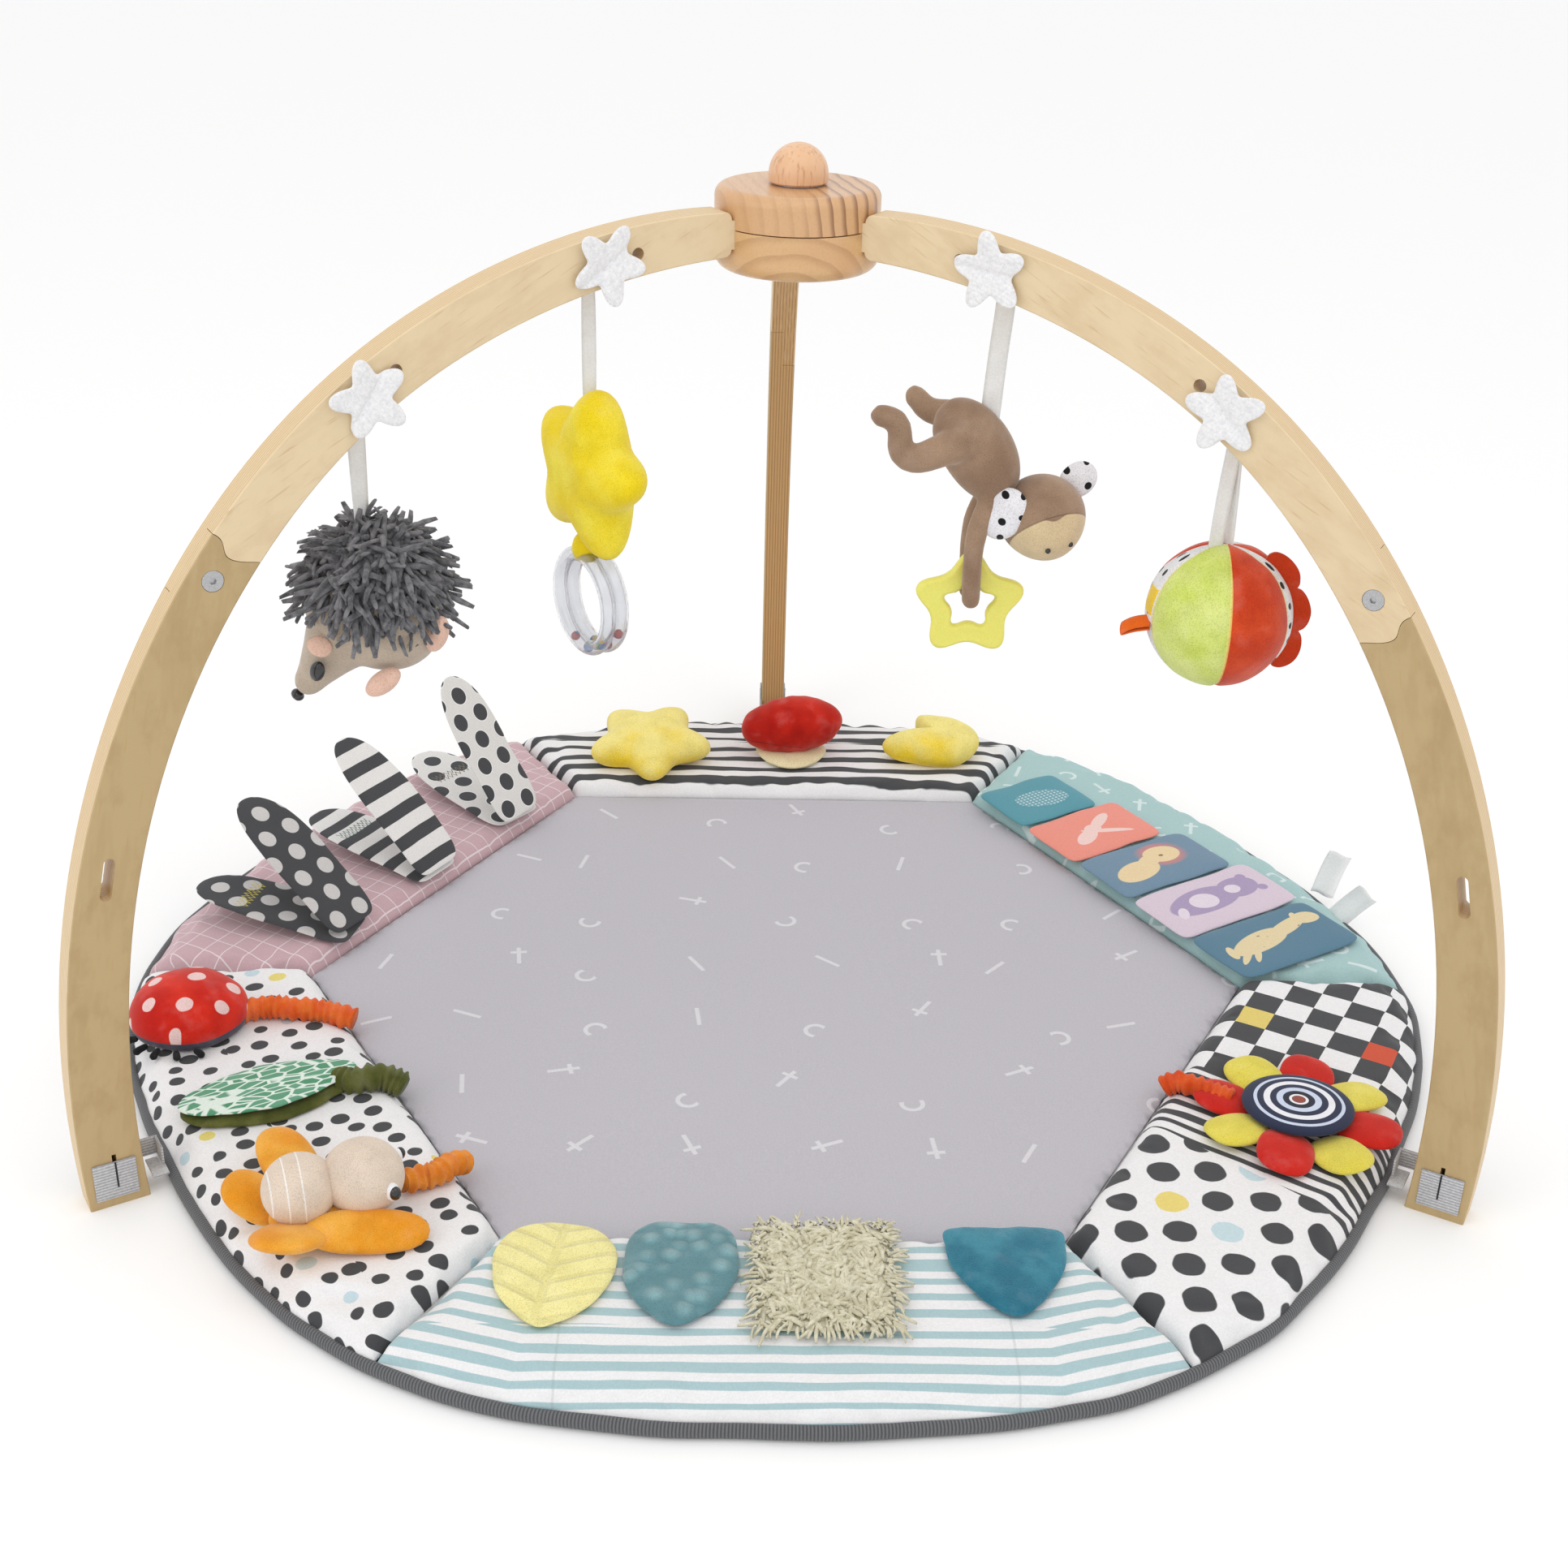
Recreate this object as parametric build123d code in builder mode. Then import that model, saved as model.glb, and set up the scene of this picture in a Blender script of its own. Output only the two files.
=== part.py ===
from build123d import *
from math import cos, radians, sin
import os

# Activity play gym: three bent-plywood legs clamped in a two-disc pine hub, standing round a
# padded mat. Millimetres, +Z up, origin on the floor under the hub, -Y towards the front.
# Every leg is drawn once in the XZ plane, with the hub's axis at x = 0, and turned to its azimuth.

# ---- driving dimensions -------------------------------------------------------------------
LEG_AZIMUTHS = {"left": -150, "right": -30, "rear": 90}
PLY = 24                       # plywood thickness
HUB_RADIUS = 60
HUB_BOTTOM, HUB_SPLIT, HUB_TOP = 626, 659, 685
SPLIT_GAP = 0.8                # dark line between the discs
TENON_HEIGHT, TENON_LENGTH, TENON_Z = 20, 26, 656
TENON_FIT = 0.1
LEG_END = HUB_RADIUS + 0.5     # where a leg's rounded shoulder stops at the hub
OUTER_EDGE = [(LEG_END, 672), (200, 656.5), (365, 577), (465, 474), (546, 320), (585, 150), (587.5, 0)]
INNER_EDGE = [(544, 0), (542, 150), (502.5, 320), (425, 462), (330, 556.5), (200, 618.5), (LEG_END, 640.5)]
UPPER_SHOULDER, LOWER_SHOULDER = (437, 484), (466, 445)
LAP_ANGLE = 38                 # direction across the leg at the lap, from horizontal
LAP_WAVE = ((-40, -1), (-20, -2), (-10, 3), (0, 4), (8, -3), (18, -4), (28, 1), (40, 1))   # across, along
LAP_GAP = 0.5                  # open line at each shoulder
LAP_BOLT = (450, 465)
TOY_HOLES = [(336, 574.5), (315, 589.5), (160, 645.5), (135, 649.5)]
TOY_HOLE_RADIUS = 4.5
LEG_SLOT, LEG_SLOT_SIZE, LEG_SLOT_ANGLE = (543, 265), (32, 8), 103
FOOT_SLOT, FOOT_SLOT_SIZE = (566, 31), (3.2, 26)

SCREW_HEAD, SCREW_HEAD_DEPTH, SCREW_SHANK = 7.3, 3.2, 3.0     # radii and depth
SLEEVE_RADIUS, HEX_KEY = 4.5, 2.6

STUD_RADIUS, STUD_CLEARANCE, STUD_HOLE = 4.0, 0.05, 4.6      # STUD_HOLE is the free hole through the discs
HUB_BASE_ROUND, HUB_LID_ROUND = 11, 8
NUT_RADIUS, NUT_POCKET_RADIUS, NUT_POCKET_DEPTH = 8.9, 9, 7
KNOB_RADIUS, KNOB_HEIGHT, KNOB_BORE_DEPTH = 21.5, 27.5, 18
WASHER_HEIGHT, WASHER_RADIUS, WASHER_GAP = 1.2, 17, 0.1

MAT_RADIUS, PAD_RADIUS, BACKING = 530, 516, 3
WADDING_TOP, CENTRE_TOP, PANEL_TOP = 11, 16, 26
HEXAGON = 400                  # circumradius of the centre field
SEAM_GAP = 0.4
PANELS = {"front": -90, "front_right": -30, "rear_right": 30, "rear": 90, "rear_left": 150, "front_left": 210}
HEXAGON_FLAT = HEXAGON * cos(radians(30))     # distance from the origin to a side of the field
ON_PANEL = PANEL_TOP + 0.6     # underside of what lies on a border panel

STRAP = 1.4                    # thickness of the hanging ribbons
RIBBON_WIDTH = 14
HANG_OUTER, HANG_INNER = TOY_HOLES[0], TOY_HOLES[2]
HANG_OFFSET = PLY / 2 + 4      # from a leg's middle plane to the ribbon behind it

os.makedirs("parts", exist_ok=True)


def save(builder, name):
    builder.part.label = name
    export_step(builder.part, f"parts/{name}.step")


def leg_plane(azimuth, offset=0):
    """Middle plane of a leg: x outwards from the hub, y up."""
    a = radians(azimuth)
    return Plane(origin=(0, 0, 0), x_dir=(cos(a), sin(a), 0), z_dir=(sin(a), -cos(a), 0)).offset(offset)


# ---- hub --------------------------------------------------------------------------------------
def hub_pockets(clearance):
    """Three radial pockets for the legs' tenons."""
    for azimuth in LEG_AZIMUTHS.values():
        middle = HUB_RADIUS - TENON_LENGTH / 2
        with Locations(Location((0, 0, TENON_Z), (0, 0, azimuth))):
            with Locations((middle + 1, 0, 0)):
                Box(TENON_LENGTH + 2, PLY + 2 * clearance, TENON_HEIGHT + 2 * clearance, mode=Mode.SUBTRACT)


with BuildPart() as hub_base:
    with BuildSketch(Plane.XY.offset(HUB_BOTTOM)):
        Circle(HUB_RADIUS)
        Circle(STUD_HOLE, mode=Mode.SUBTRACT)
    extrude(amount=HUB_SPLIT - SPLIT_GAP / 2 - HUB_BOTTOM)
    fillet(hub_base.edges().filter_by(GeomType.CIRCLE).group_by(Axis.Z)[0].sort_by(SortBy.RADIUS)[-1:], HUB_BASE_ROUND)
    with BuildSketch(Plane.XY.offset(HUB_BOTTOM)):
        RegularPolygon(NUT_POCKET_RADIUS, 6)
    extrude(amount=NUT_POCKET_DEPTH, mode=Mode.SUBTRACT)
    hub_pockets(TENON_FIT)
save(hub_base, "hub_base")

with BuildPart() as hub_lid:
    with BuildSketch(Plane.XY.offset(HUB_SPLIT + SPLIT_GAP / 2)):
        Circle(HUB_RADIUS)
        Circle(STUD_HOLE, mode=Mode.SUBTRACT)
    extrude(amount=HUB_TOP - HUB_SPLIT - SPLIT_GAP / 2)
    fillet(hub_lid.edges().filter_by(GeomType.CIRCLE).group_by(Axis.Z)[-1].sort_by(SortBy.RADIUS)[-1:], HUB_LID_ROUND)
    hub_pockets(TENON_FIT)
save(hub_lid, "hub_lid")

# Hexagon nut pressed up into the base, which takes the knob's stud.
with BuildPart() as hub_nut:
    with BuildSketch(Plane.XY.offset(HUB_BOTTOM + 0.4)):
        RegularPolygon(NUT_RADIUS, 6)
        Circle(STUD_RADIUS + STUD_CLEARANCE, mode=Mode.SUBTRACT)
    extrude(amount=NUT_POCKET_DEPTH - 0.6)
save(hub_nut, "hub_nut")

# The clamp knob turns on its stud; the captive washer under it only rises and falls.
with BuildPart() as knob_washer:
    with BuildSketch(Plane.XY.offset(HUB_TOP + WASHER_GAP)):
        Circle(WASHER_RADIUS)
        Circle(STUD_RADIUS + STUD_CLEARANCE, mode=Mode.SUBTRACT)
    extrude(amount=WASHER_HEIGHT)
save(knob_washer, "knob_washer")

KNOB_BASE = HUB_TOP + WASHER_HEIGHT + 2 * WASHER_GAP
KNOB_TOP = KNOB_BASE + KNOB_HEIGHT
with BuildPart() as knob:
    with BuildSketch(Plane.XZ):
        with BuildLine():
            Polyline((0, KNOB_BASE + KNOB_BORE_DEPTH), (STUD_RADIUS, KNOB_BASE + KNOB_BORE_DEPTH),
                     (STUD_RADIUS, KNOB_BASE), (KNOB_RADIUS - 1, KNOB_BASE),
                     (KNOB_RADIUS, KNOB_BASE + 1), (KNOB_RADIUS, KNOB_TOP - KNOB_RADIUS))
            RadiusArc((KNOB_RADIUS, KNOB_TOP - KNOB_RADIUS), (0, KNOB_TOP), -KNOB_RADIUS)
            Line((0, KNOB_TOP), (0, KNOB_BASE + KNOB_BORE_DEPTH))
        make_face()
    revolve(axis=Axis.Z)
save(knob, "knob")

with BuildPart() as knob_stud:
    with BuildSketch(Plane.XY.offset(HUB_BOTTOM + 2)):
        Circle(STUD_RADIUS)
    extrude(amount=KNOB_BASE + KNOB_BORE_DEPTH - HUB_BOTTOM - 2)
save(knob_stud, "knob_stud")


# ---- legs ---------------------------------------------------------------------------------------
def below_shoulder(middle, side, lowered):
    """All of the leg's plane below one wavy shoulder, for the half thickness on one side."""
    across = Vector(cos(radians(LAP_ANGLE)), sin(radians(LAP_ANGLE)))
    along = Vector(sin(radians(LAP_ANGLE)), -cos(radians(LAP_ANGLE)))
    centre = Vector(*middle) + along * lowered
    wave = [centre + across * u + along * v for u, v in LAP_WAVE]
    with BuildSketch(Plane.XZ) as region:
        with BuildLine():
            Spline(*wave)
            Polyline(wave[-1], (700, wave[-1].Y), (700, -60), (350, -60), wave[0])
        make_face()
    extrude(region.sketch, amount=-side * PLY / 2)


with BuildPart() as leg_blank:
    with BuildSketch(Plane.XZ) as leg_profile:
        with BuildLine():
            Spline(*OUTER_EDGE)
            Spline(*INNER_EDGE)
            Line(OUTER_EDGE[-1], INNER_EDGE[0])
            Line(INNER_EDGE[-1], OUTER_EDGE[0])
        make_face()
        fillet(leg_profile.vertices().sort_by(Axis.X)[:2], 6)
    extrude(amount=PLY / 2, both=True)
    chamfer(leg_blank.edges().filter_by(GeomType.BSPLINE), 0.8)
    with Locations((LEG_END - TENON_LENGTH / 2 + 1, 0, TENON_Z)):
        Box(TENON_LENGTH, PLY, TENON_HEIGHT)
    with BuildSketch(Plane.XZ):
        with Locations(*TOY_HOLES):
            Circle(TOY_HOLE_RADIUS)
        with Locations(Location((*LEG_SLOT, 0), (0, 0, LEG_SLOT_ANGLE))):
            SlotOverall(*LEG_SLOT_SIZE)
        with Locations(FOOT_SLOT):
            Rectangle(*FOOT_SLOT_SIZE)
        with Locations(LAP_BOLT):
            Circle(SLEEVE_RADIUS + 0.1)
    extrude(amount=PLY, both=True, mode=Mode.SUBTRACT)
    for side in (1, -1):
        with BuildSketch(Plane.XZ.offset(side * PLY / 2)):
            with Locations(LAP_BOLT):
                Circle(SCREW_HEAD + 0.3)
        extrude(amount=-side * SCREW_HEAD_DEPTH, mode=Mode.SUBTRACT)

with BuildPart() as lower_half:
    below_shoulder(UPPER_SHOULDER, 1, LAP_GAP / 2)
    below_shoulder(LOWER_SHOULDER, -1, LAP_GAP / 2)

with BuildPart() as cleared_half:
    below_shoulder(UPPER_SHOULDER, 1, -LAP_GAP / 2)
    below_shoulder(LOWER_SHOULDER, -1, -LAP_GAP / 2)

with BuildPart() as leg_lower:
    add(leg_blank.part)
    add(lower_half.part, mode=Mode.INTERSECT)

with BuildPart() as leg_upper:
    add(leg_blank.part)
    add(cleared_half.part, mode=Mode.SUBTRACT)

for leg_name, azimuth in LEG_AZIMUTHS.items():
    for segment_name, segment in (("upper", leg_upper), ("lower", leg_lower)):
        with BuildPart() as turned:
            add(segment.part, rotation=(0, 0, azimuth))
        save(turned, f"leg_{leg_name}_{segment_name}")

# Countersunk socket screw and sleeve nut through each half-lap.
HEAD_SUNK = 0.3                # from a leg's face to a screw's head
HEAD_THICKNESS = SCREW_HEAD_DEPTH - HEAD_SUNK - 0.1
with BuildPart() as screw:
    with BuildSketch(Plane.XZ.offset(-PLY / 2 + HEAD_SUNK)):
        with Locations(LAP_BOLT):
            Circle(SCREW_HEAD)
    extrude(amount=HEAD_THICKNESS)
    with BuildSketch(Plane.XZ.offset(-PLY / 2 + 3)):
        with Locations(LAP_BOLT):
            Circle(SCREW_SHANK)
    extrude(amount=13)
    with BuildSketch(Plane.XZ.offset(-PLY / 2 + HEAD_SUNK)):
        with Locations(LAP_BOLT):
            RegularPolygon(HEX_KEY, 6)
    extrude(amount=2, mode=Mode.SUBTRACT)

with BuildPart() as sleeve_nut:
    with BuildSketch(Plane.XZ.offset(PLY / 2 - HEAD_SUNK)):
        with Locations(LAP_BOLT):
            Circle(SCREW_HEAD)
    extrude(amount=-HEAD_THICKNESS)
    with BuildSketch(Plane.XZ.offset(PLY / 2 - 3)):
        with Locations(LAP_BOLT):
            Circle(SLEEVE_RADIUS)
    extrude(amount=-17.5)
    with BuildSketch(Plane.XZ.offset(-PLY / 2 + 3)):
        with Locations(LAP_BOLT):
            Circle(SCREW_SHANK + 0.05)
    extrude(amount=PLY - 7, mode=Mode.SUBTRACT)
    with BuildSketch(Plane.XZ.offset(PLY / 2)):
        with Locations(LAP_BOLT):
            RegularPolygon(HEX_KEY, 6)
    extrude(amount=-2.3, mode=Mode.SUBTRACT)

for group_name, fastener in (("leg_screws", screw), ("leg_sleeve_nuts", sleeve_nut)):
    with BuildPart() as group:
        for azimuth in LEG_AZIMUTHS.values():
            add(fastener.part, rotation=(0, 0, azimuth))
    save(group, group_name)


# ---- mat ----------------------------------------------------------------------------------------
with BuildPart() as mat_backing:
    Cylinder(MAT_RADIUS, BACKING, align=(Align.CENTER, Align.CENTER, Align.MIN))
save(mat_backing, "mat_backing")

with BuildPart() as mat_wadding:
    with BuildSketch(Plane.XY.offset(BACKING)):
        Circle(PAD_RADIUS)
    extrude(amount=WADDING_TOP - BACKING)
save(mat_wadding, "mat_wadding")

with BuildPart() as mat_centre:
    with BuildSketch(Plane.XY.offset(WADDING_TOP)):
        RegularPolygon(HEXAGON - SEAM_GAP, 6)
    extrude(amount=CENTRE_TOP - WADDING_TOP)
save(mat_centre, "mat_centre")

# One padded border panel, drawn round azimuth 0 and turned to its side of the hexagon.
with BuildPart() as panel:
    with BuildSketch(Plane.XY.offset(BACKING)):
        with BuildLine():
            a = radians(30)
            inner = [(HEXAGON * cos(a), side * HEXAGON * sin(a)) for side in (-1, 1)]
            outer = [(MAT_RADIUS * cos(a), side * MAT_RADIUS * sin(a)) for side in (-1, 1)]
            Polyline(outer[0], inner[0], inner[1], outer[1])
            ThreePointArc(outer[0], (MAT_RADIUS, 0), outer[1])
        make_face()
        offset(amount=-SEAM_GAP, kind=Kind.INTERSECTION)
    extrude(amount=PANEL_TOP - BACKING)
    chamfer(panel.faces().sort_by(Axis.Z)[-1].edges(), 6, 9)
    Cylinder(PAD_RADIUS + 0.2, WADDING_TOP, align=(Align.CENTER, Align.CENTER, Align.MIN), mode=Mode.SUBTRACT)

for panel_name, azimuth in PANELS.items():
    with BuildPart() as turned:
        add(panel.part, rotation=(0, 0, azimuth))
    save(turned, f"panel_{panel_name}")

# Webbing from the mat's edge to each foot, threaded through the foot slot and closed on both faces.
PATCH, PATCH_THICKNESS = 31, 1.6
STRAP_TAB_R, STRAP_TAB, STRAP_WIDTH = 543, 26, 16
with BuildPart() as strap:
    patch_r, patch_z = FOOT_SLOT[0] + 1, 23
    for side in (1, -1):
        beside = side * (PLY / 2 + PATCH_THICKNESS / 2 + 0.1)
        with Locations((patch_r, beside, patch_z)):
            Box(PATCH, PATCH_THICKNESS, PATCH)
        with Locations((STRAP_TAB_R, beside, patch_z + 2)):
            Box(STRAP_TAB, PATCH_THICKNESS, STRAP_WIDTH)
    with Locations((FOOT_SLOT[0], 0, 28)):
        Box(PATCH_THICKNESS, PLY + PATCH_THICKNESS, STRAP_WIDTH + 2)
    with Locations((MAT_RADIUS + 1.5, 0, patch_z + 2)):
        Box(PATCH_THICKNESS, PLY + 2 * PATCH_THICKNESS + 0.2, STRAP_WIDTH)
with BuildPart() as leg_straps:
    for azimuth in LEG_AZIMUTHS.values():
        add(strap.part, rotation=(0, 0, azimuth))
save(leg_straps, "leg_straps")

LABEL_AZIMUTHS, LABEL_SIZE = (18.5, 12), (1, 21, 46)
with BuildPart() as care_labels:
    for azimuth in LABEL_AZIMUTHS:
        with Locations(Location((0, 0, 0), (0, 0, azimuth)) * Location((MAT_RADIUS + 1.2, 0, 34))):
            Box(*LABEL_SIZE)
save(care_labels, "care_labels")


# ---- plush shapes sewn to the rear panel -----------------------------------------------------------
def ellipsoid(width, depth, height):
    """A half ellipse revolved about Z, then squeezed along Y to its depth."""
    with BuildPart() as body:
        with BuildSketch(Plane.XZ):
            with BuildLine():
                arc = EllipticalCenterArc((0, 0), width / 2, height / 2, -90, arc_size=180)
                Line(arc @ 0, arc @ 1)
            make_face()
        revolve(axis=Axis.Z)
    return scale(body.part, by=(1, depth / width, 1), mode=Mode.PRIVATE)


def rounded_star(points, tip, valley, radius):
    """Sketch of a star whose tips and valleys are rounded."""
    corners = []
    for k in range(2 * points):
        r = tip if k % 2 == 0 else valley
        a = radians(90 + 180 * k / points)
        corners.append((r * cos(a), r * sin(a)))
    with BuildSketch() as star:
        with BuildLine():
            Polyline(*corners, close=True)
        make_face()
        fillet(star.vertices(), radius)
    return star.sketch


BORDER_STAR, BORDER_STAR_TIP, BORDER_STAR_VALLEY, BORDER_STAR_HEIGHT = (-128, 405, 0), 60, 38, 30
BORDER_POD, BORDER_POD_SIZE = (18, 428, 58), (104, 62, 60)
BORDER_MOON, BORDER_MOON_RADII, BORDER_MOON_HEIGHT = (162, 420), (52, 34), 26
with BuildPart() as border_plush:
    with BuildSketch(Plane.XY.offset(ON_PANEL)):
        with Locations(Location(BORDER_STAR, (0, 0, 12))):
            add(rounded_star(5, BORDER_STAR_TIP, BORDER_STAR_VALLEY, 9))
    extrude(amount=BORDER_STAR_HEIGHT)
    chamfer(border_plush.faces().sort_by(Axis.Z)[-1].edges(), 6)
    add(Location(BORDER_POD) * ellipsoid(*BORDER_POD_SIZE))
    with BuildSketch(Plane.XY.offset(ON_PANEL)):
        with Locations(BORDER_MOON):
            Ellipse(*BORDER_MOON_RADII)
    extrude(amount=BORDER_MOON_HEIGHT)
save(border_plush, "border_plush")


# ---- hanging toys ---------------------------------------------------------------------------------
def hang_point(azimuth, hole, front):
    """Where a ribbon hangs behind a leg's face; front is +1 when the toggle is on the +90 degree side."""
    spot = leg_plane(azimuth, front * HANG_OFFSET).from_local_coords((*hole, 0))
    return spot.X, spot.Y, spot.Z


HANGERS = {     # azimuth, hole, toggle side
    "hedgehog": (LEG_AZIMUTHS["left"], HANG_OUTER, 1),
    "star": (LEG_AZIMUTHS["left"], HANG_INNER, 1),
    "monkey": (LEG_AZIMUTHS["right"], HANG_INNER, -1),
    "ball": (LEG_AZIMUTHS["right"], HANG_OUTER, -1),
}
HANG = {name: hang_point(*spot) for name, spot in HANGERS.items()}
TOGGLE_LOBE, TOGGLE_REACH, TOGGLE_THICKNESS = 9.5, 19, 3


def hanger(name, bottom, toy):
    """Felt star toggle, ribbon through the hole, and the ribbon's fall behind the leg to the toy."""
    azimuth, hole, front = HANGERS[name]
    with BuildPart() as piece:
        with BuildSketch(leg_plane(azimuth, -front * (PLY / 2 + 0.5))):
            with Locations(hole):
                Circle(16)
                with PolarLocations(TOGGLE_REACH, 5, start_angle=18):
                    Circle(TOGGLE_LOBE)
        extrude(amount=-front * TOGGLE_THICKNESS)
        with BuildSketch(leg_plane(azimuth, -front * (PLY / 2 + 1.5))):
            with Locations(hole):
                Rectangle(5.6, 2.6)
        extrude(amount=front * (PLY / 2 + 1.5 + HANG_OFFSET))
        with BuildSketch(leg_plane(azimuth, front * (HANG_OFFSET - STRAP / 2))):
            with Locations((hole[0], (hole[1] + 3 + bottom) / 2)):
                Rectangle(RIBBON_WIDTH, hole[1] + 3 - bottom)
        extrude(amount=front * STRAP)
        for part in toy:
            add(part, mode=Mode.SUBTRACT)
    save(piece, f"{name}_hanger")


# Hedgehog: taupe body with a pointed snout to the lower left, under a coat of chenille quills.
x, y, _ = HANG["hedgehog"]
HEDGEHOG_Z, HEDGEHOG_BODY, HEDGEHOG_COAT = 420, (104, 80, 84), (108, 100, 104)
with BuildPart() as hedgehog_body:
    add(Location((x, y, HEDGEHOG_Z), (0, 35, 0)) * ellipsoid(*HEDGEHOG_BODY))
    snout = Location((x, y, HEDGEHOG_Z), (0, -125, 0)) * Location((0, 0, 54))
    with Locations(snout):
        Cone(26, 7, 42)
    for side in (-1, 1):
        with Locations((x + 30, y + side * 20, HEDGEHOG_Z - 52)):
            Sphere(9)
save(hedgehog_body, "hedgehog_body")

with BuildPart() as hedgehog_quills:
    add(Location((x + 2, y, HEDGEHOG_Z + 16), (0, 20, 0)) * ellipsoid(*HEDGEHOG_COAT))
    with Locations((x, y, HEDGEHOG_Z - 80)):
        Box(220, 220, 110, mode=Mode.SUBTRACT)
    add(hedgehog_body.part, mode=Mode.SUBTRACT)
save(hedgehog_quills, "hedgehog_quills")
hanger("hedgehog", HEDGEHOG_Z + 40, [hedgehog_quills.part, hedgehog_body.part])

# Yellow velour star with a clear ring rattle sewn under it.
x, y, _ = HANG["star"]
STAR_Z, STAR_TIP, STAR_VALLEY, STAR_THICKNESS = 489, 66, 44, 42
RATTLE_Z, RATTLE_RADIUS, RATTLE_TUBE = 390, 36, 5.5
BEAD_RADIUS, BEAD_ANGLES = 3.6, (112, 96, 80, 64, 48, 30)
facing = radians(34)           # azimuth that the star and its ring face
star_plane = Plane(origin=(x, y, STAR_Z), x_dir=(sin(facing), -cos(facing), 0), z_dir=(cos(facing), sin(facing), 0))
with BuildPart() as star_plush:
    with BuildSketch(star_plane):
        with Locations(Location((0, 0, 0), (0, 0, 48))):
            add(rounded_star(5, STAR_TIP, STAR_VALLEY, 12))
    extrude(amount=STAR_THICKNESS / 2, both=True)
save(star_plush, "star_plush")

rattle_plane = Plane(origin=(x - 3, y, RATTLE_Z), x_dir=star_plane.x_dir, z_dir=star_plane.z_dir)
with BuildPart() as rattle_ring:
    for shift in (-RATTLE_TUBE, RATTLE_TUBE):
        with BuildSketch(Plane(rattle_plane.origin, x_dir=rattle_plane.x_dir, z_dir=(0, 0, 1))):
            with Locations((RATTLE_RADIUS, shift)):
                Circle(RATTLE_TUBE + 0.2)
                Circle(RATTLE_TUBE - 1.2, mode=Mode.SUBTRACT)
        revolve(axis=Axis(rattle_plane.origin, rattle_plane.z_dir))
    add(star_plush.part, mode=Mode.SUBTRACT)
save(rattle_ring, "rattle_ring")

with BuildPart() as rattle_beads:
    for k, angle in enumerate(BEAD_ANGLES):
        shift = RATTLE_TUBE if k % 2 else -RATTLE_TUBE
        spot = rattle_plane.from_local_coords(
            (RATTLE_RADIUS * cos(radians(angle)), RATTLE_RADIUS * sin(radians(angle)), shift))
        with Locations(spot):
            Sphere(BEAD_RADIUS)
save(rattle_beads, "rattle_beads")
hanger("star", 480, [star_plush.part])

# Monkey hanging by its back, arms down through a soft star teether.
x, y, _ = HANG["monkey"]
TEETHER_CENTRE = (x - 12, y - 2, 392)
ARM_SPREAD = 11                # from the teether's middle plane to each arm
teether_plane = Plane(origin=TEETHER_CENTRE, x_dir=(1, 0, 0), z_dir=(0, -1, 0))
with BuildPart() as teether:
    with BuildSketch(teether_plane):
        add(rounded_star(5, 43, 29, 7))
        add(rounded_star(5, 20, 12, 2), mode=Mode.SUBTRACT)
    extrude(amount=4.5, both=True)
save(teether, "teether")

with BuildPart() as monkey_head:
    add(Location((x + 37, y, 469)) * ellipsoid(64, 60, 62))
    for side in (-1, 1):
        with Locations(Location((x + 26, y + side * 33, 474), (90, 0, 0))):
            Cylinder(15, 6)

with BuildPart() as monkey_body:
    add(Location((x - 14, y, 510), (0, -32, 0)) * ellipsoid(50, 46, 84))
    for depth in (-17, 17):
        with BuildLine() as leg:
            FilletPolyline((x - 26, y + depth, 522), (x - 66, y + depth, 508),
                           (x - 72, y + depth, 538), (x - 92, y + depth, 542), radius=(12, 9))
        with BuildSketch(Plane(origin=leg.line @ 0, z_dir=leg.line % 0)):
            Circle(8)
        sweep()
    add(monkey_head.part, mode=Mode.SUBTRACT)
    for side in (-1, 1):
        with BuildLine() as arm:
            FilletPolyline((x - 4, y, 480), (x - 12, y - 2 + side * ARM_SPREAD, 452),
                           (x - 12, y - 2 + side * ARM_SPREAD, 392.5), (x - 12, y - 2, 392.5), radius=(8, 7))
        with BuildSketch(Plane(origin=arm.line @ 0, z_dir=arm.line % 0)):
            Circle(5.5)
        sweep()
save(monkey_body, "monkey_body")
save(monkey_head, "monkey_head")
hanger("monkey", 500, [monkey_body.part])

# Gored plush ball with a looped tag on one side and a scalloped fringe on the other.
x, y, _ = HANG["ball"]
BALL_RADIUS, FRILL = 52, 11
BALL_CENTRE = (x + 3, y, 421)
with BuildPart() as ball_body:
    with Locations(BALL_CENTRE):
        Sphere(BALL_RADIUS)
save(ball_body, "ball_body")

with BuildPart() as ball_trim:
    with Locations((BALL_CENTRE[0] - BALL_RADIUS - 7, y - 4, BALL_CENTRE[2] - 6)):
        Box(20, 3, 15)
    fringe = Plane(origin=BALL_CENTRE, x_dir=(1, 0, 0), z_dir=(0, -1, 0))
    with BuildSketch(fringe):
        with Locations((0, 0)):
            Circle(BALL_RADIUS + FRILL)
            Rectangle(200, 200, align=(Align.MAX, Align.CENTER), mode=Mode.SUBTRACT)
            with Locations((0, -60)):
                Rectangle(80, 80, align=(Align.MIN, Align.CENTER), mode=Mode.SUBTRACT)
            with Locations((0, 75)):
                Rectangle(90, 80, align=(Align.MIN, Align.CENTER), mode=Mode.SUBTRACT)
    extrude(amount=1.5, both=True)
    add(ball_body.part, mode=Mode.SUBTRACT)
save(ball_trim, "ball_trim")
hanger("ball", 440, [ball_body.part])


# ---- tethered toys on the mat -----------------------------------------------------------------------
TETHER_RADIUS = 6


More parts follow.
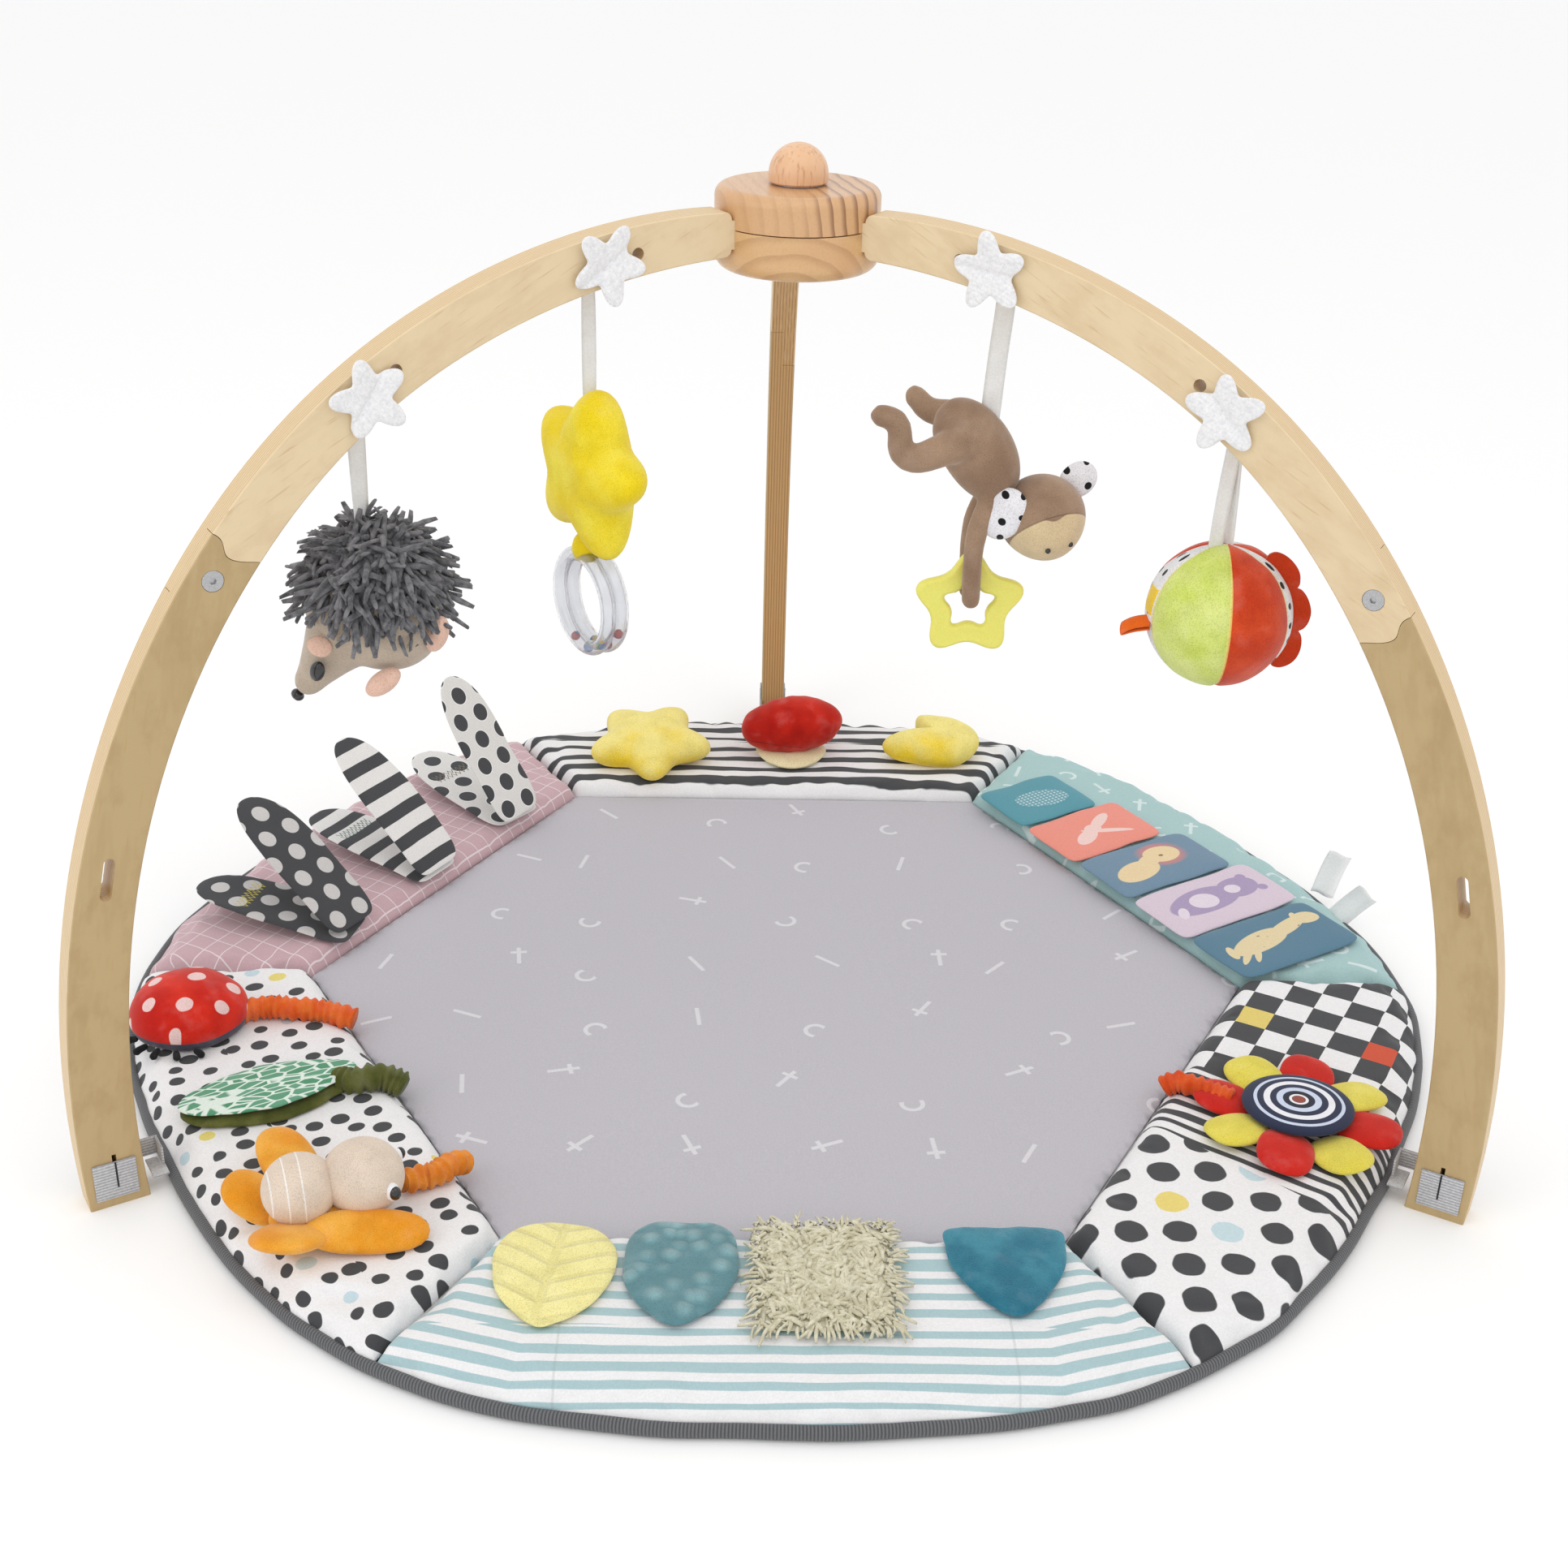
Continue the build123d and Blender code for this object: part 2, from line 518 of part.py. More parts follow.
def tether(start, end):
    """Elastic cord in its gathered sleeve, from the centre field's seam to the toy."""
    run = Vector(*end) - Vector(*start)
    with BuildSketch(Plane(origin=start, z_dir=run)) as section:
        Circle(TETHER_RADIUS)
    extrude(section.sketch, amount=run.length)


LADYBUG, LADYBUG_RADIUS, LADYBUG_HEIGHT = (-478, -98), 46, 44
with BuildPart() as shell:
    with BuildSketch(Plane.XZ):
        with BuildLine():
            Polyline((0, 0), (LADYBUG_RADIUS - 6, 0), (LADYBUG_RADIUS, 12))
            EllipticalCenterArc((0, 12), LADYBUG_RADIUS, LADYBUG_HEIGHT - 12, 0, arc_size=90)
            Line((0, LADYBUG_HEIGHT), (0, 0))
        make_face()
    revolve(axis=Axis.Z)

with BuildPart() as ladybug:
    add(Location((*LADYBUG, ON_PANEL)) * shell.part)
    tether((-346, -90, 33.5), (-440, -94, 33.5))
save(ladybug, "ladybug")

with BuildPart() as leaf_toy:
    with BuildSketch(Plane.XY.offset(ON_PANEL)):
        with Locations(Location((-395, -197, 0), (0, 0, 30))):
            Ellipse(70, 37)
    extrude(amount=14)
    tether((-292, -184, 33.5), (-342, -190, 33.5))
save(leaf_toy, "leaf_toy")

with BuildPart() as butterfly:
    with BuildSketch(Plane.XY.offset(ON_PANEL)):
        with Locations((-320, -340)):
            Circle(64)
    extrude(amount=16)
    for spot in ((-337, -352, 60), (-298, -336, 60)):
        with Locations(spot):
            Sphere(28)
    tether((-234, -279, 33.5), (-272, -304, 33.5))
save(butterfly, "butterfly")

FLOWER = (396, -214)
with BuildPart() as flower:
    with BuildSketch(Plane.XY.offset(ON_PANEL)):
        with Locations(FLOWER):
            Circle(45)
            with PolarLocations(53, 8, start_angle=10):
                Circle(20)
    extrude(amount=12)
    tether((301, -176, 33.5), (333, -188, 33.5))
save(flower, "flower")

with BuildPart() as flower_disc:
    with BuildSketch(Plane.XY.offset(ON_PANEL + 12)):
        with Locations(FLOWER):
            Circle(42)
    extrude(amount=9)
    chamfer(flower_disc.faces().sort_by(Axis.Z)[-1].edges(), 2)
save(flower_disc, "flower_disc")


# ---- flaps hinged at the centre field's seam --------------------------------------------------------
def on_side(azimuth, along, out=0.0, z=PANEL_TOP):
    """Point over a border panel: along its seam from the middle, and outwards from it."""
    a = radians(azimuth)
    n = Vector(cos(a), sin(a))
    e = Vector(-sin(a), cos(a))
    p = n * (HEXAGON_FLAT + out) + e * along
    return p.X, p.Y, z


PETAL_LENGTH, PETAL_WIDTH, PETAL_THICKNESS = 150, 62, 5
PETAL_PAIRS = {     # place along the seam, upper petal's rise, turns of the lower and the upper
    "dotted": (137, 38, 17, 0),
    "striped": (19, 46, 0, 0),
    "spotted": (-105, 60, -12, 0),
}
LOWER_RISE = 9
for pair_name, (along, rise, lower_turn, upper_turn) in PETAL_PAIRS.items():
    for layer, lift, turn, height in (("lower", LOWER_RISE, lower_turn, 2), ("upper", rise, upper_turn, 9)):
        a = radians(PANELS["rear_left"] + turn)
        out = Vector(cos(a), sin(a))
        root = Vector(*on_side(PANELS["rear_left"], along, 2, PANEL_TOP + height))
        rising = radians(lift)
        petal_plane = Plane(origin=root, x_dir=(out.X * cos(rising), out.Y * cos(rising), sin(rising)),
                            z_dir=(-out.X * sin(rising), -out.Y * sin(rising), cos(rising)))
        with BuildPart() as petal:
            with BuildSketch(petal_plane):
                half = PETAL_WIDTH / 2
                with Locations((PETAL_LENGTH / 2, 0)):
                    SlotOverall(PETAL_LENGTH, PETAL_WIDTH)
                with Locations((half / 2, 0)):
                    Rectangle(half, PETAL_WIDTH)
            extrude(amount=PETAL_THICKNESS)
        save(petal, f"petal_{pair_name}_{layer}")

PAGE_WIDTH, PAGE_PITCH, PAGE_THICKNESS = 76, 80, 7
PAGE_LENGTHS = [84, 100, 118, 126, 126]       # from the rear end of the panel to its front end
for k, length in enumerate(PAGE_LENGTHS):
    along = 144 - k * PAGE_PITCH
    x, y, _ = on_side(PANELS["rear_right"], along, 3 + length / 2)
    with BuildPart() as page:
        with BuildSketch(Plane.XY.offset(ON_PANEL)):
            with Locations(Location((x, y, 0), (0, 0, PANELS["rear_right"]))):
                RectangleRounded(length, PAGE_WIDTH, 6)
        extrude(amount=PAGE_THICKNESS)
    save(page, f"page_{k + 1}")

FLAP_ROOT = -HEXAGON_FLAT - 3
FLAPS = {       # middle across the panel, width, length, thickness
    "texture_leaf": (-157, 84, 108, 7),
    "texture_minky": (-71, 80, 105, 8),
    "texture_shaggy": (27, 98, 112, 12),
    "texture_velour": (154, 84, 90, 7),
}
for flap_name, (middle, width, length, thick) in FLAPS.items():
    with BuildPart() as flap:
        with BuildSketch(Plane.XY.offset(ON_PANEL)):
            if flap_name == "texture_shaggy":
                with Locations((middle, FLAP_ROOT - length / 2)):
                    RectangleRounded(width, length, 8)
            else:
                with BuildLine():
                    left, right = middle - width / 2, middle + width / 2
                    tip = (middle - 4, FLAP_ROOT - length)
                    Spline((left + 14, FLAP_ROOT), (left, FLAP_ROOT - length * 0.42), tip)
                    Spline((right - 14, FLAP_ROOT), (right, FLAP_ROOT - length * 0.42), tip)
                    Line((left + 14, FLAP_ROOT), (right - 14, FLAP_ROOT))
                make_face()
        extrude(amount=thick)
    save(flap, flap_name)
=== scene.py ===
# Activity play gym: a timber frame over a padded mat with hanging toys. Everything is in metres in
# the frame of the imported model: origin on the floor under the hub, +Z up, -Y towards the front.
import bmesh
import bpy
import random
from math import atan2, cos, hypot, pi, radians, sin, sqrt, tan
from mathutils import Matrix, Vector, noise


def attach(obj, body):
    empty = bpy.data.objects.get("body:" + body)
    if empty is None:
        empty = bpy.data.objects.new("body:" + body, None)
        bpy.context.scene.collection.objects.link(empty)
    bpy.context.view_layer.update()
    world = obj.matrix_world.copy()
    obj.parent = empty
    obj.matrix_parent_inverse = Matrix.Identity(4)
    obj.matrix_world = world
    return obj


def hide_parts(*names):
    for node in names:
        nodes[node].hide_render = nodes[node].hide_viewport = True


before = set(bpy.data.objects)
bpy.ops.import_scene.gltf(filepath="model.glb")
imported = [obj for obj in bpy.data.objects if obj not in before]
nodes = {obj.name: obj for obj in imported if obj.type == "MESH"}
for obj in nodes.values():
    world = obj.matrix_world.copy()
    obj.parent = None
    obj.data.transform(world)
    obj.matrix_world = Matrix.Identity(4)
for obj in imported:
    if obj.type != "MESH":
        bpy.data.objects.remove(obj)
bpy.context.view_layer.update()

MM = 0.001

# ---- room, light and camera ---------------------------------------------------------------------
# A pale floor that runs out of sight, one broad soft light over the object and a weaker one from the
# left, and a lens of normal length that looks down at the mat from in front.
bpy.context.scene.view_settings.view_transform = "Standard"
room = bmesh.new()
bmesh.ops.create_grid(room, x_segments=1, y_segments=1, size=14)
floor_mesh = bpy.data.meshes.new("floor")
room.to_mesh(floor_mesh)
floor = bpy.data.objects.new("floor", floor_mesh)
bpy.context.collection.objects.link(floor)
floor_paint = bpy.data.materials.new("floor_paint")
floor_paint.use_nodes = True
floor_paint.node_tree.nodes["Principled BSDF"].inputs["Base Color"].default_value = (0.98, 0.98, 0.98, 1)
floor_paint.node_tree.nodes["Principled BSDF"].inputs["Roughness"].default_value = 0.9
floor_mesh.materials.append(floor_paint)

sky = bpy.data.worlds.new("studio")
sky.use_nodes = True
sky.node_tree.nodes["Background"].inputs["Color"].default_value = (1, 1, 1, 1)
sky.node_tree.nodes["Background"].inputs["Strength"].default_value = 0.97
bpy.context.scene.world = sky
for light_name, place, size, power in (("softbox_over", (0.3, -0.9, 2.6), 2.2, 9),
                                       ("softbox_left", (-2.2, -1.6, 1.6), 1.6, 7)):
    lamp = bpy.data.lights.new(light_name, "AREA")
    lamp.size, lamp.energy = size, power
    box_light = bpy.data.objects.new(light_name, lamp)
    box_light.location = place
    box_light.rotation_euler = (Vector((0, 0, 0.25)) - Vector(place)).to_track_quat("-Z", "Y").to_euler()
    bpy.context.collection.objects.link(box_light)

lens = bpy.data.cameras.new("camera")
lens.lens, lens.sensor_width = 47, 36
camera = bpy.data.objects.new("camera", lens)
bpy.context.collection.objects.link(camera)
yaw, pitch, roll = radians(1.46), radians(26.6), radians(1.47)
forward = Vector((sin(yaw) * cos(pitch), cos(yaw) * cos(pitch), -sin(pitch)))
level = Vector((cos(yaw), -sin(yaw), 0))
raised = level.cross(forward)
right, above = level * cos(roll) + raised * sin(roll), raised * cos(roll) - level * sin(roll)
camera.matrix_world = (Matrix.Translation((-0.0375, -1.5022, 0.9568))
                       @ Matrix((right, above, -forward)).transposed().to_4x4())
bpy.context.scene.camera = camera


# ---- hub ------------------------------------------------------------------------------------------
# Two turned pine discs clamp the three legs. The lid is cut so that its growth rings stand upright,
# the base so that they rise as arches; both are rounded over and lacquered.
def srgb(red, green, blue):
    """A paint-chart colour, 0 to 255, as the linear colour that a shader takes."""
    return (*((c / 255 / 12.92) if c < 11 else ((c / 255 + 0.055) / 1.055) ** 2.4
              for c in (red, green, blue)), 1)


class Value:
    """A number that changes over a surface; Python's operators add the Math nodes."""

    def __init__(self, finish, socket):
        self.finish, self.socket = finish, socket

    def math(self, operation, *others):
        return Value(self.finish, self.finish.node("ShaderNodeMath", {"operation": operation},
                                                   dict(enumerate((self, *others)))))

    def __add__(self, other): return self.math("ADD", other)
    def __sub__(self, other): return self.math("SUBTRACT", other)
    def __rsub__(self, other): return self * -1 + other
    def __mul__(self, other): return self.math("MULTIPLY", other)
    def __truediv__(self, other): return self.math("DIVIDE", other)
    def __gt__(self, other): return self.math("GREATER_THAN", other)
    def __lt__(self, other): return self.math("LESS_THAN", other)
    def __abs__(self): return self.math("ABSOLUTE")
    __radd__, __rmul__ = __add__, __mul__

    def wrapped(self):
        """The part after the decimal point."""
        return self.math("FRACT")

    def ramp(self, low, high):
        """0 below low, 1 above high and smooth between; the other way round when low is above high."""
        return Value(self.finish, self.finish.node(
            "ShaderNodeMapRange", {"interpolation_type": "SMOOTHSTEP"},
            {"Value": self, "From Min": low, "From Max": high}))


class Finish:
    """A procedural material on object coordinates; constants go straight onto the shader's sockets."""

    def __init__(self, name, **constants):
        self.material = bpy.data.materials.new(name)
        self.material.use_nodes = True
        self.tree = self.material.node_tree
        self.shader = self.tree.nodes["Principled BSDF"]
        self.place = self.node("ShaderNodeTexCoord", output="Object")
        for socket, value in constants.items():
            self.shader.inputs[socket.replace("_", " ")].default_value = value

    def node(self, kind, settings=None, inputs=None, output=0):
        made = self.tree.nodes.new(kind)
        for key, value in (settings or {}).items():
            setattr(made, key, value)
        for key, value in (inputs or {}).items():
            if isinstance(value, (Value, bpy.types.NodeSocket)):
                self.tree.links.new(value.socket if isinstance(value, Value) else value, made.inputs[key])
            else:
                made.inputs[key].default_value = value
        return made.outputs[output]

    def about(self, centre=(0, 0, 0), turn=(0, 0, 0), vector=None):
        """Coordinates measured from a centre, along axes turned by these degrees."""
        return self.node("ShaderNodeMapping", {"vector_type": "TEXTURE"}, {
            "Vector": vector or self.place, "Location": centre, "Rotation": tuple(radians(t) for t in turn)})

    def parts(self, vector=None):
        split = self.node("ShaderNodeSeparateXYZ", None, {0: vector or self.place}).node
        return [Value(self, socket) for socket in split.outputs]

    def joined(self, x=0, y=0, z=0):
        return self.node("ShaderNodeCombineXYZ", None, {0: x, 1: y, 2: z})

    def noise(self, per_metre, vector=None, detail=2, rough=0.5):
        return Value(self, self.node("ShaderNodeTexNoise", None, {
            "Vector": vector or self.place, "Scale": per_metre, "Detail": detail, "Roughness": rough}))

    def cells(self, per_metre, vector=None, spread=1.0, flat=False, feature="F1"):
        """Scattered cells: the distance to the nearest one's middle, its random colour, its middle."""
        made = self.node("ShaderNodeTexVoronoi",
                         {"voronoi_dimensions": "2D" if flat else "3D", "feature": feature},
                         {"Vector": vector or self.place, "Scale": per_metre, "Randomness": spread}).node
        return [Value(self, made.outputs["Distance"]), *made.outputs[1:3]]

    def mix(self, share, first, second):
        """first where share is 0, second where it is 1."""
        return self.node("ShaderNodeMix", {"data_type": "RGBA"},
                         {"Factor": share, 6: first, 7: second}, output=2)

    def bump(self, height, depth, normal=None):
        """A bump of this depth in metres where height goes from 0 to 1."""
        return self.node("ShaderNodeBump", None, {"Height": height, "Distance": depth, "Strength": 1.0,
                                                   **({"Normal": normal} if normal else {})})

    def set(self, **sockets):
        for name, value in sockets.items():
            socket = self.shader.inputs[name.replace("_", " ")]
            if isinstance(value, (Value, bpy.types.NodeSocket)):
                self.tree.links.new(value.socket if isinstance(value, Value) else value, socket)
            else:
                socket.default_value = value
        return self

    def on(self, *names):
        """Gives this finish to CAD nodes that keep their shape."""
        for name in names:
            for slot in nodes[name].material_slots:
                slot.material = self.material


def pine(name, ring, contrast, light=srgb(226, 186, 138), dark=srgb(136, 88, 50)):
    """Lacquered pine; ring gives the growth-ring count at a point, contrast how dark late wood is."""
    wood = Finish(name, Coat_Weight=0.35, Coat_Roughness=0.18)
    x, y, z = wood.parts()
    drift = wood.noise(14, detail=3)
    growth = (ring(wood, x, y, z) + drift * 1.1).wrapped()
    late = growth.ramp(0.45, 0.93) * growth.ramp(1.0, 0.96) * contrast(x, y, z)
    fibre = wood.noise(60, wood.joined(x * 14, y, z * 14), detail=4, rough=0.7)
    blush = wood.mix(wood.noise(22, detail=1).ramp(0.3, 0.75), light, srgb(212, 165, 118))
    colour = wood.mix(fibre.ramp(0.35, 0.75) * 0.3, blush, srgb(188, 140, 94))
    colour = wood.mix(late, colour, dark)
    wood.set(Base_Color=colour, Roughness=fibre * 0.16 + 0.3,
             Normal=wood.bump(late * 0.6 + fibre * 0.4, 0.00012))
    return wood


LID_RING, BASE_RING = 0.0098, 0.0165
pine("pine_lid", lambda wood, x, y, z: (x + y * 0.22 + z * 0.12) / LID_RING,
     lambda x, y, z: x.ramp(0.0, 0.022) * 0.62 + 0.13, srgb(214, 170, 124), srgb(124, 76, 42)).on("hub_lid")
pine("pine_base",
     lambda wood, x, y, z: ((x + 0.006) * (x + 0.006) + (z - 0.617) * (z - 0.617) * 1.7).math("SQRT")
     / BASE_RING,
     lambda x, y, z: x * 0 + 0.3, srgb(219, 180, 128), srgb(150, 98, 54)).on("hub_base")

# The clamp knob is turned from beech: fine short rays, a pinkish brown, the same clear lacquer.
beech = Finish("beech", Coat_Weight=0.3, Coat_Roughness=0.25, Roughness=0.36)
x, y, z = beech.parts()
rays = beech.noise(420, beech.joined(x, y, z * 0.12), detail=2)
colour = beech.mix(rays.ramp(0.5, 0.72), srgb(226, 180, 138), srgb(196, 142, 100))
colour = beech.mix(beech.noise(45, beech.joined(x * 2, y * 2, z * 0.5)).ramp(0.35, 0.7) * 0.5, colour,
                   srgb(236, 194, 156))
beech.set(Base_Color=colour, Normal=beech.bump(rays, 0.00006)).on("knob")

# Zinc-plated steel: the stud and its nut, the washer, and the legs' countersunk screws and sleeve nuts.
steel = Finish("steel", Metallic=1.0)
scratch = steel.noise(900, detail=3)
steel.set(Base_Color=steel.mix(scratch, srgb(150, 150, 152), srgb(205, 205, 206)),
          Roughness=scratch * 0.2 + 0.22,
          Normal=steel.bump(scratch, 0.00003)).on("knob_stud", "hub_nut", "knob_washer", "leg_screws",
                                                 "leg_sleeve_nuts")


# ---- legs -----------------------------------------------------------------------------------------
# Bent birch plywood. The wide faces show flat-cut veneer with a faint flame and short pores, the
# curved edges show the plies; the lower segments were cut from a yellower sheet than the upper ones.
PLY, PLY_LAYER = 0.024, 0.0014


def birch(name, azimuth, grain, face, flame, edge, glue):
    wood = Finish(name)
    local = wood.about(turn=(0, 0, azimuth))
    x, y, z = wood.parts(local)
    along, across, through = wood.parts(wood.about(turn=(0, grain, 0), vector=local))
    figure = wood.noise(9, wood.joined(along, through * 5, y * 5), detail=3, rough=0.6)
    pore = wood.noise(340, wood.joined(along * 0.09, through, y), detail=2)
    cloud = wood.noise(26, wood.joined(along, through * 1.7, y), detail=4, rough=0.65)
    veneer = wood.mix(cloud.ramp(0.42, 0.7) * 0.55, face, flame)
    veneer = wood.mix(figure.ramp(0.48, 0.6) * figure.ramp(0.72, 0.6) * 0.3, veneer, flame)
    veneer = wood.mix(pore.ramp(0.6, 0.74) * 0.4, veneer, glue)
    layer = (y / PLY_LAYER + 0.5).wrapped()
    turned = (y / (2 * PLY_LAYER) + 0.25).wrapped().ramp(0.48, 0.52)
    fibre = wood.noise(300, wood.joined(x * 0.2, y * 3, z * 0.2), detail=2)
    plies = wood.mix(turned * 0.55, edge, glue)
    plies = wood.mix(layer.ramp(0.36, 0.46) * layer.ramp(0.64, 0.54) * 0.75, plies, glue)
    plies = wood.mix(fibre.ramp(0.45, 0.75) * 0.35, plies, face)
    is_face = abs(y).ramp(PLY / 2 - 0.0011, PLY / 2 - 0.0006)
    wood.set(Base_Color=wood.mix(is_face, plies, veneer), Roughness=pore * 0.15 + 0.38,
             Normal=wood.bump(pore * 0.5 + layer.ramp(0.3, 0.5) * (1 - is_face) * 0.5, 0.00005),
             Coat_Weight=0.12, Coat_Roughness=0.4)
    return wood


UPPER_FACE, UPPER_FLAME = srgb(226, 204, 166), srgb(210, 184, 143)
LOWER_FACE, LOWER_FLAME = srgb(188, 162, 116), srgb(170, 142, 96)
EDGE, GLUE, REAR_EDGE, REAR_GLUE = srgb(232, 206, 160), srgb(186, 150, 102), srgb(214, 172, 114), srgb(146,
                                                                                                       100, 60)
for leg, azimuth, edge, glue in (("left", -150, EDGE, GLUE), ("right", -30, EDGE, GLUE),
                                 ("rear", 90, REAR_EDGE, REAR_GLUE)):
    birch(f"birch_{leg}_upper", azimuth, 28, UPPER_FACE, UPPER_FLAME, edge, glue).on(f"leg_{leg}_upper")
    birch(f"birch_{leg}_lower", azimuth, 78, LOWER_FACE, LOWER_FLAME, edge, glue).on(f"leg_{leg}_lower")


# ---- mat: backing and wadding -----------------------------------------------------------------------
# Dark-grey ribbed canvas under the whole mat, bound round its edge, and a sheet of polyester wadding.
# The edge is drawn in a little between the six corners of the mat.
MAT_RADIUS, EDGE_WAVE = 0.532, 0.009
BACKING, WADDING_TOP = 0.003, 0.011


def rim(angle):
    return MAT_RADIUS + EDGE_WAVE * cos(6
                                        * angle) + 0.002 * noise.noise(Vector((cos(angle), sin(angle), 0)) * 9)


def piece(name, shape, finish, body="gym", replaces=()):
    """Makes a finished object of a bmesh, which rides on a body and stands for CAD nodes."""
    bmesh.ops.recalc_face_normals(shape, faces=shape.faces)
    mesh = bpy.data.meshes.new(name)
    shape.to_mesh(mesh)
    shape.free()
    mesh.shade_smooth()
    mesh.materials.append(finish.material)
    made = bpy.data.objects.new(name, mesh)
    bpy.context.collection.objects.link(made)
    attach(made, body)
    if replaces:
        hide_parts(*replaces)
    return made


def softened(made, levels=1):
    smooth = made.modifiers.new("softened", "SUBSURF")
    smooth.levels = smooth.render_levels = levels
    return made


def cloth(name, colour, thread=1500, depth=0.00006, rough=0.85, **constants):
    """Woven or knitted cloth: colour(finish) paints it, the threads and slubs go in as bump."""
    weave = Finish(name, Sheen_Weight=0.12, Sheen_Roughness=0.6, Specular_IOR_Level=0.25, **constants)
    x, y, z = weave.parts()
    threads = ((x + z * 0.3) * thread * 2).math("SINE") * ((y + z * 0.7) * thread * 2).math("SINE")
    slub = weave.noise(700, detail=2)
    paint = colour(weave)
    shade = weave.mix(slub.ramp(0.2, 0.8) * 0.10, paint, (0.02, 0.02, 0.02, 1))
    weave.set(Base_Color=shade, Roughness=slub * 0.12 + rough - 0.06,
              Normal=weave.bump(threads * 0.3 + slub * 0.7, depth))
    return weave


def canvas(weave):
    x, y, _ = weave.parts()
    rib = (x.math("ARCTAN2", y) * 1400).math("SINE")
    return weave.mix(rib.ramp(-0.8, 0.8), srgb(78, 79, 81), srgb(112, 113, 116))


backing_canvas = cloth("ribbed_canvas", canvas, thread=2400, depth=0.00015)
under = bmesh.new()
bmesh.ops.create_circle(under, segments=240, radius=1, cap_ends=True)
bmesh.ops.solidify(under, geom=under.faces, thickness=BACKING - 0.0008)
for v in under.verts:
    angle = atan2(v.co.y, v.co.x)
    v.co = Vector((cos(angle) * rim(angle), sin(angle) * rim(angle),
                   0.0004 if v.co.z < -0.0005 else BACKING - 0.0004))
piece("mat_backing_canvas", under, backing_canvas, replaces=("mat_backing",))

binding = bmesh.new()
ring = bmesh.ops.create_circle(binding, segments=10, radius=1)["verts"]
for v in ring:
    v.co = Vector((1 + v.co.x * 0.0042, 0, 0.0062 + v.co.y * 0.0056))
bmesh.ops.spin(binding, geom=binding.verts[:] + binding.edges[:], axis=(0, 0, 1), cent=(0, 0, 0),
               steps=300, angle=2 * pi, use_merge=True)
for v in binding.verts:
    angle = atan2(v.co.y, v.co.x)
    reach = rim(angle) + hypot(v.co.x, v.co.y) - 1 + 0.0012
    v.co = Vector((cos(angle) * reach, sin(angle) * reach,
                   v.co.z * (1 + 0.12 * noise.noise(Vector((cos(angle), sin(angle), 3)) * 7))))
piece("mat_binding", binding, backing_canvas)

fleece = cloth("wadding_fleece", lambda weave: weave.mix(weave.noise(60, detail=5), srgb(236, 236, 234),
                                                         srgb(214, 214, 212)),
               thread=300, depth=0.0005)
batt = bmesh.new()
bmesh.ops.create_circle(batt, segments=96, radius=0.508, cap_ends=True)
bmesh.ops.inset_region(batt, faces=batt.faces, thickness=0.02)
bmesh.ops.triangulate(batt, faces=[f for f in batt.faces if len(f.verts) > 4])
bmesh.ops.solidify(batt, geom=batt.faces, thickness=-(WADDING_TOP - BACKING - 0.001))
bmesh.ops.translate(batt, verts=batt.verts, vec=(0, 0, BACKING + 0.0004))
piece("mat_wadding_batt", batt, fleece, replaces=("mat_wadding",))


# ---- mat: centre field ------------------------------------------------------------------------------
# A hexagon of plain-woven grey cotton, printed with scattered pale strokes, curls and crosses. It is
# sewn down along its six sides and lies slack between them.
HEXAGON, CENTRE_TOP = 0.3996, 0.0155
FIELD_FLAT, FIELD_HALF = HEXAGON * cos(radians(30)), HEXAGON * sin(radians(30))   # to a side, and half a side


def pick(weave, colour):
    """The three random numbers in a cell's colour."""
    return [Value(weave, s) for s in weave.node("ShaderNodeSeparateColor", None, {0: colour}).node.outputs]


def strokes(weave, vector, apart, size):
    """Scattered hand-drawn marks: a curl, a stroke or a cross, each turned its own way."""
    _, colour, middle = weave.cells(1 / apart, vector, spread=0.55, flat=True)
    turn, kind, _ = pick(weave, colour)
    away = weave.node("ShaderNodeVectorMath", {"operation": "SUBTRACT"}, {0: vector, 1: middle})
    away = weave.node("ShaderNodeVectorRotate", {"rotation_type": "Z_AXIS"},
                      {"Vector": away, "Angle": turn * 2 * pi})
    x, y, _ = weave.parts(away)
    thick, soft = size * 0.17, size * 0.10
    curl = abs((x * x + y * y).math("SQRT") - size * 0.62).ramp(thick, soft) * x.ramp(-size * 0.3, -size * 0.2)
    stroke = abs(x).ramp(thick, soft) * abs(y).ramp(size, size * 0.93)
    bar = abs(y - size * 0.4).ramp(thick, soft) * abs(x).ramp(size * 0.55, size * 0.5)
    return curl * (kind < 0.42) + (stroke + bar * (kind > 0.68)).math("MINIMUM", 1) * (kind > 0.42)


def centre_print(weave):
    x, y, _ = weave.parts()
    return weave.mix(strokes(weave, weave.joined(x, y, 0), 0.092, 0.0135) * 0.8, srgb(190, 187, 194),
                     srgb(223, 221, 226))


def closed_underneath(shape):
    """Fills the open lower edge of a cover."""
    fill = bmesh.ops.contextual_create(shape, geom=[e for e in shape.edges if e.is_boundary])["faces"]
    bmesh.ops.triangulate(shape, faces=fill)


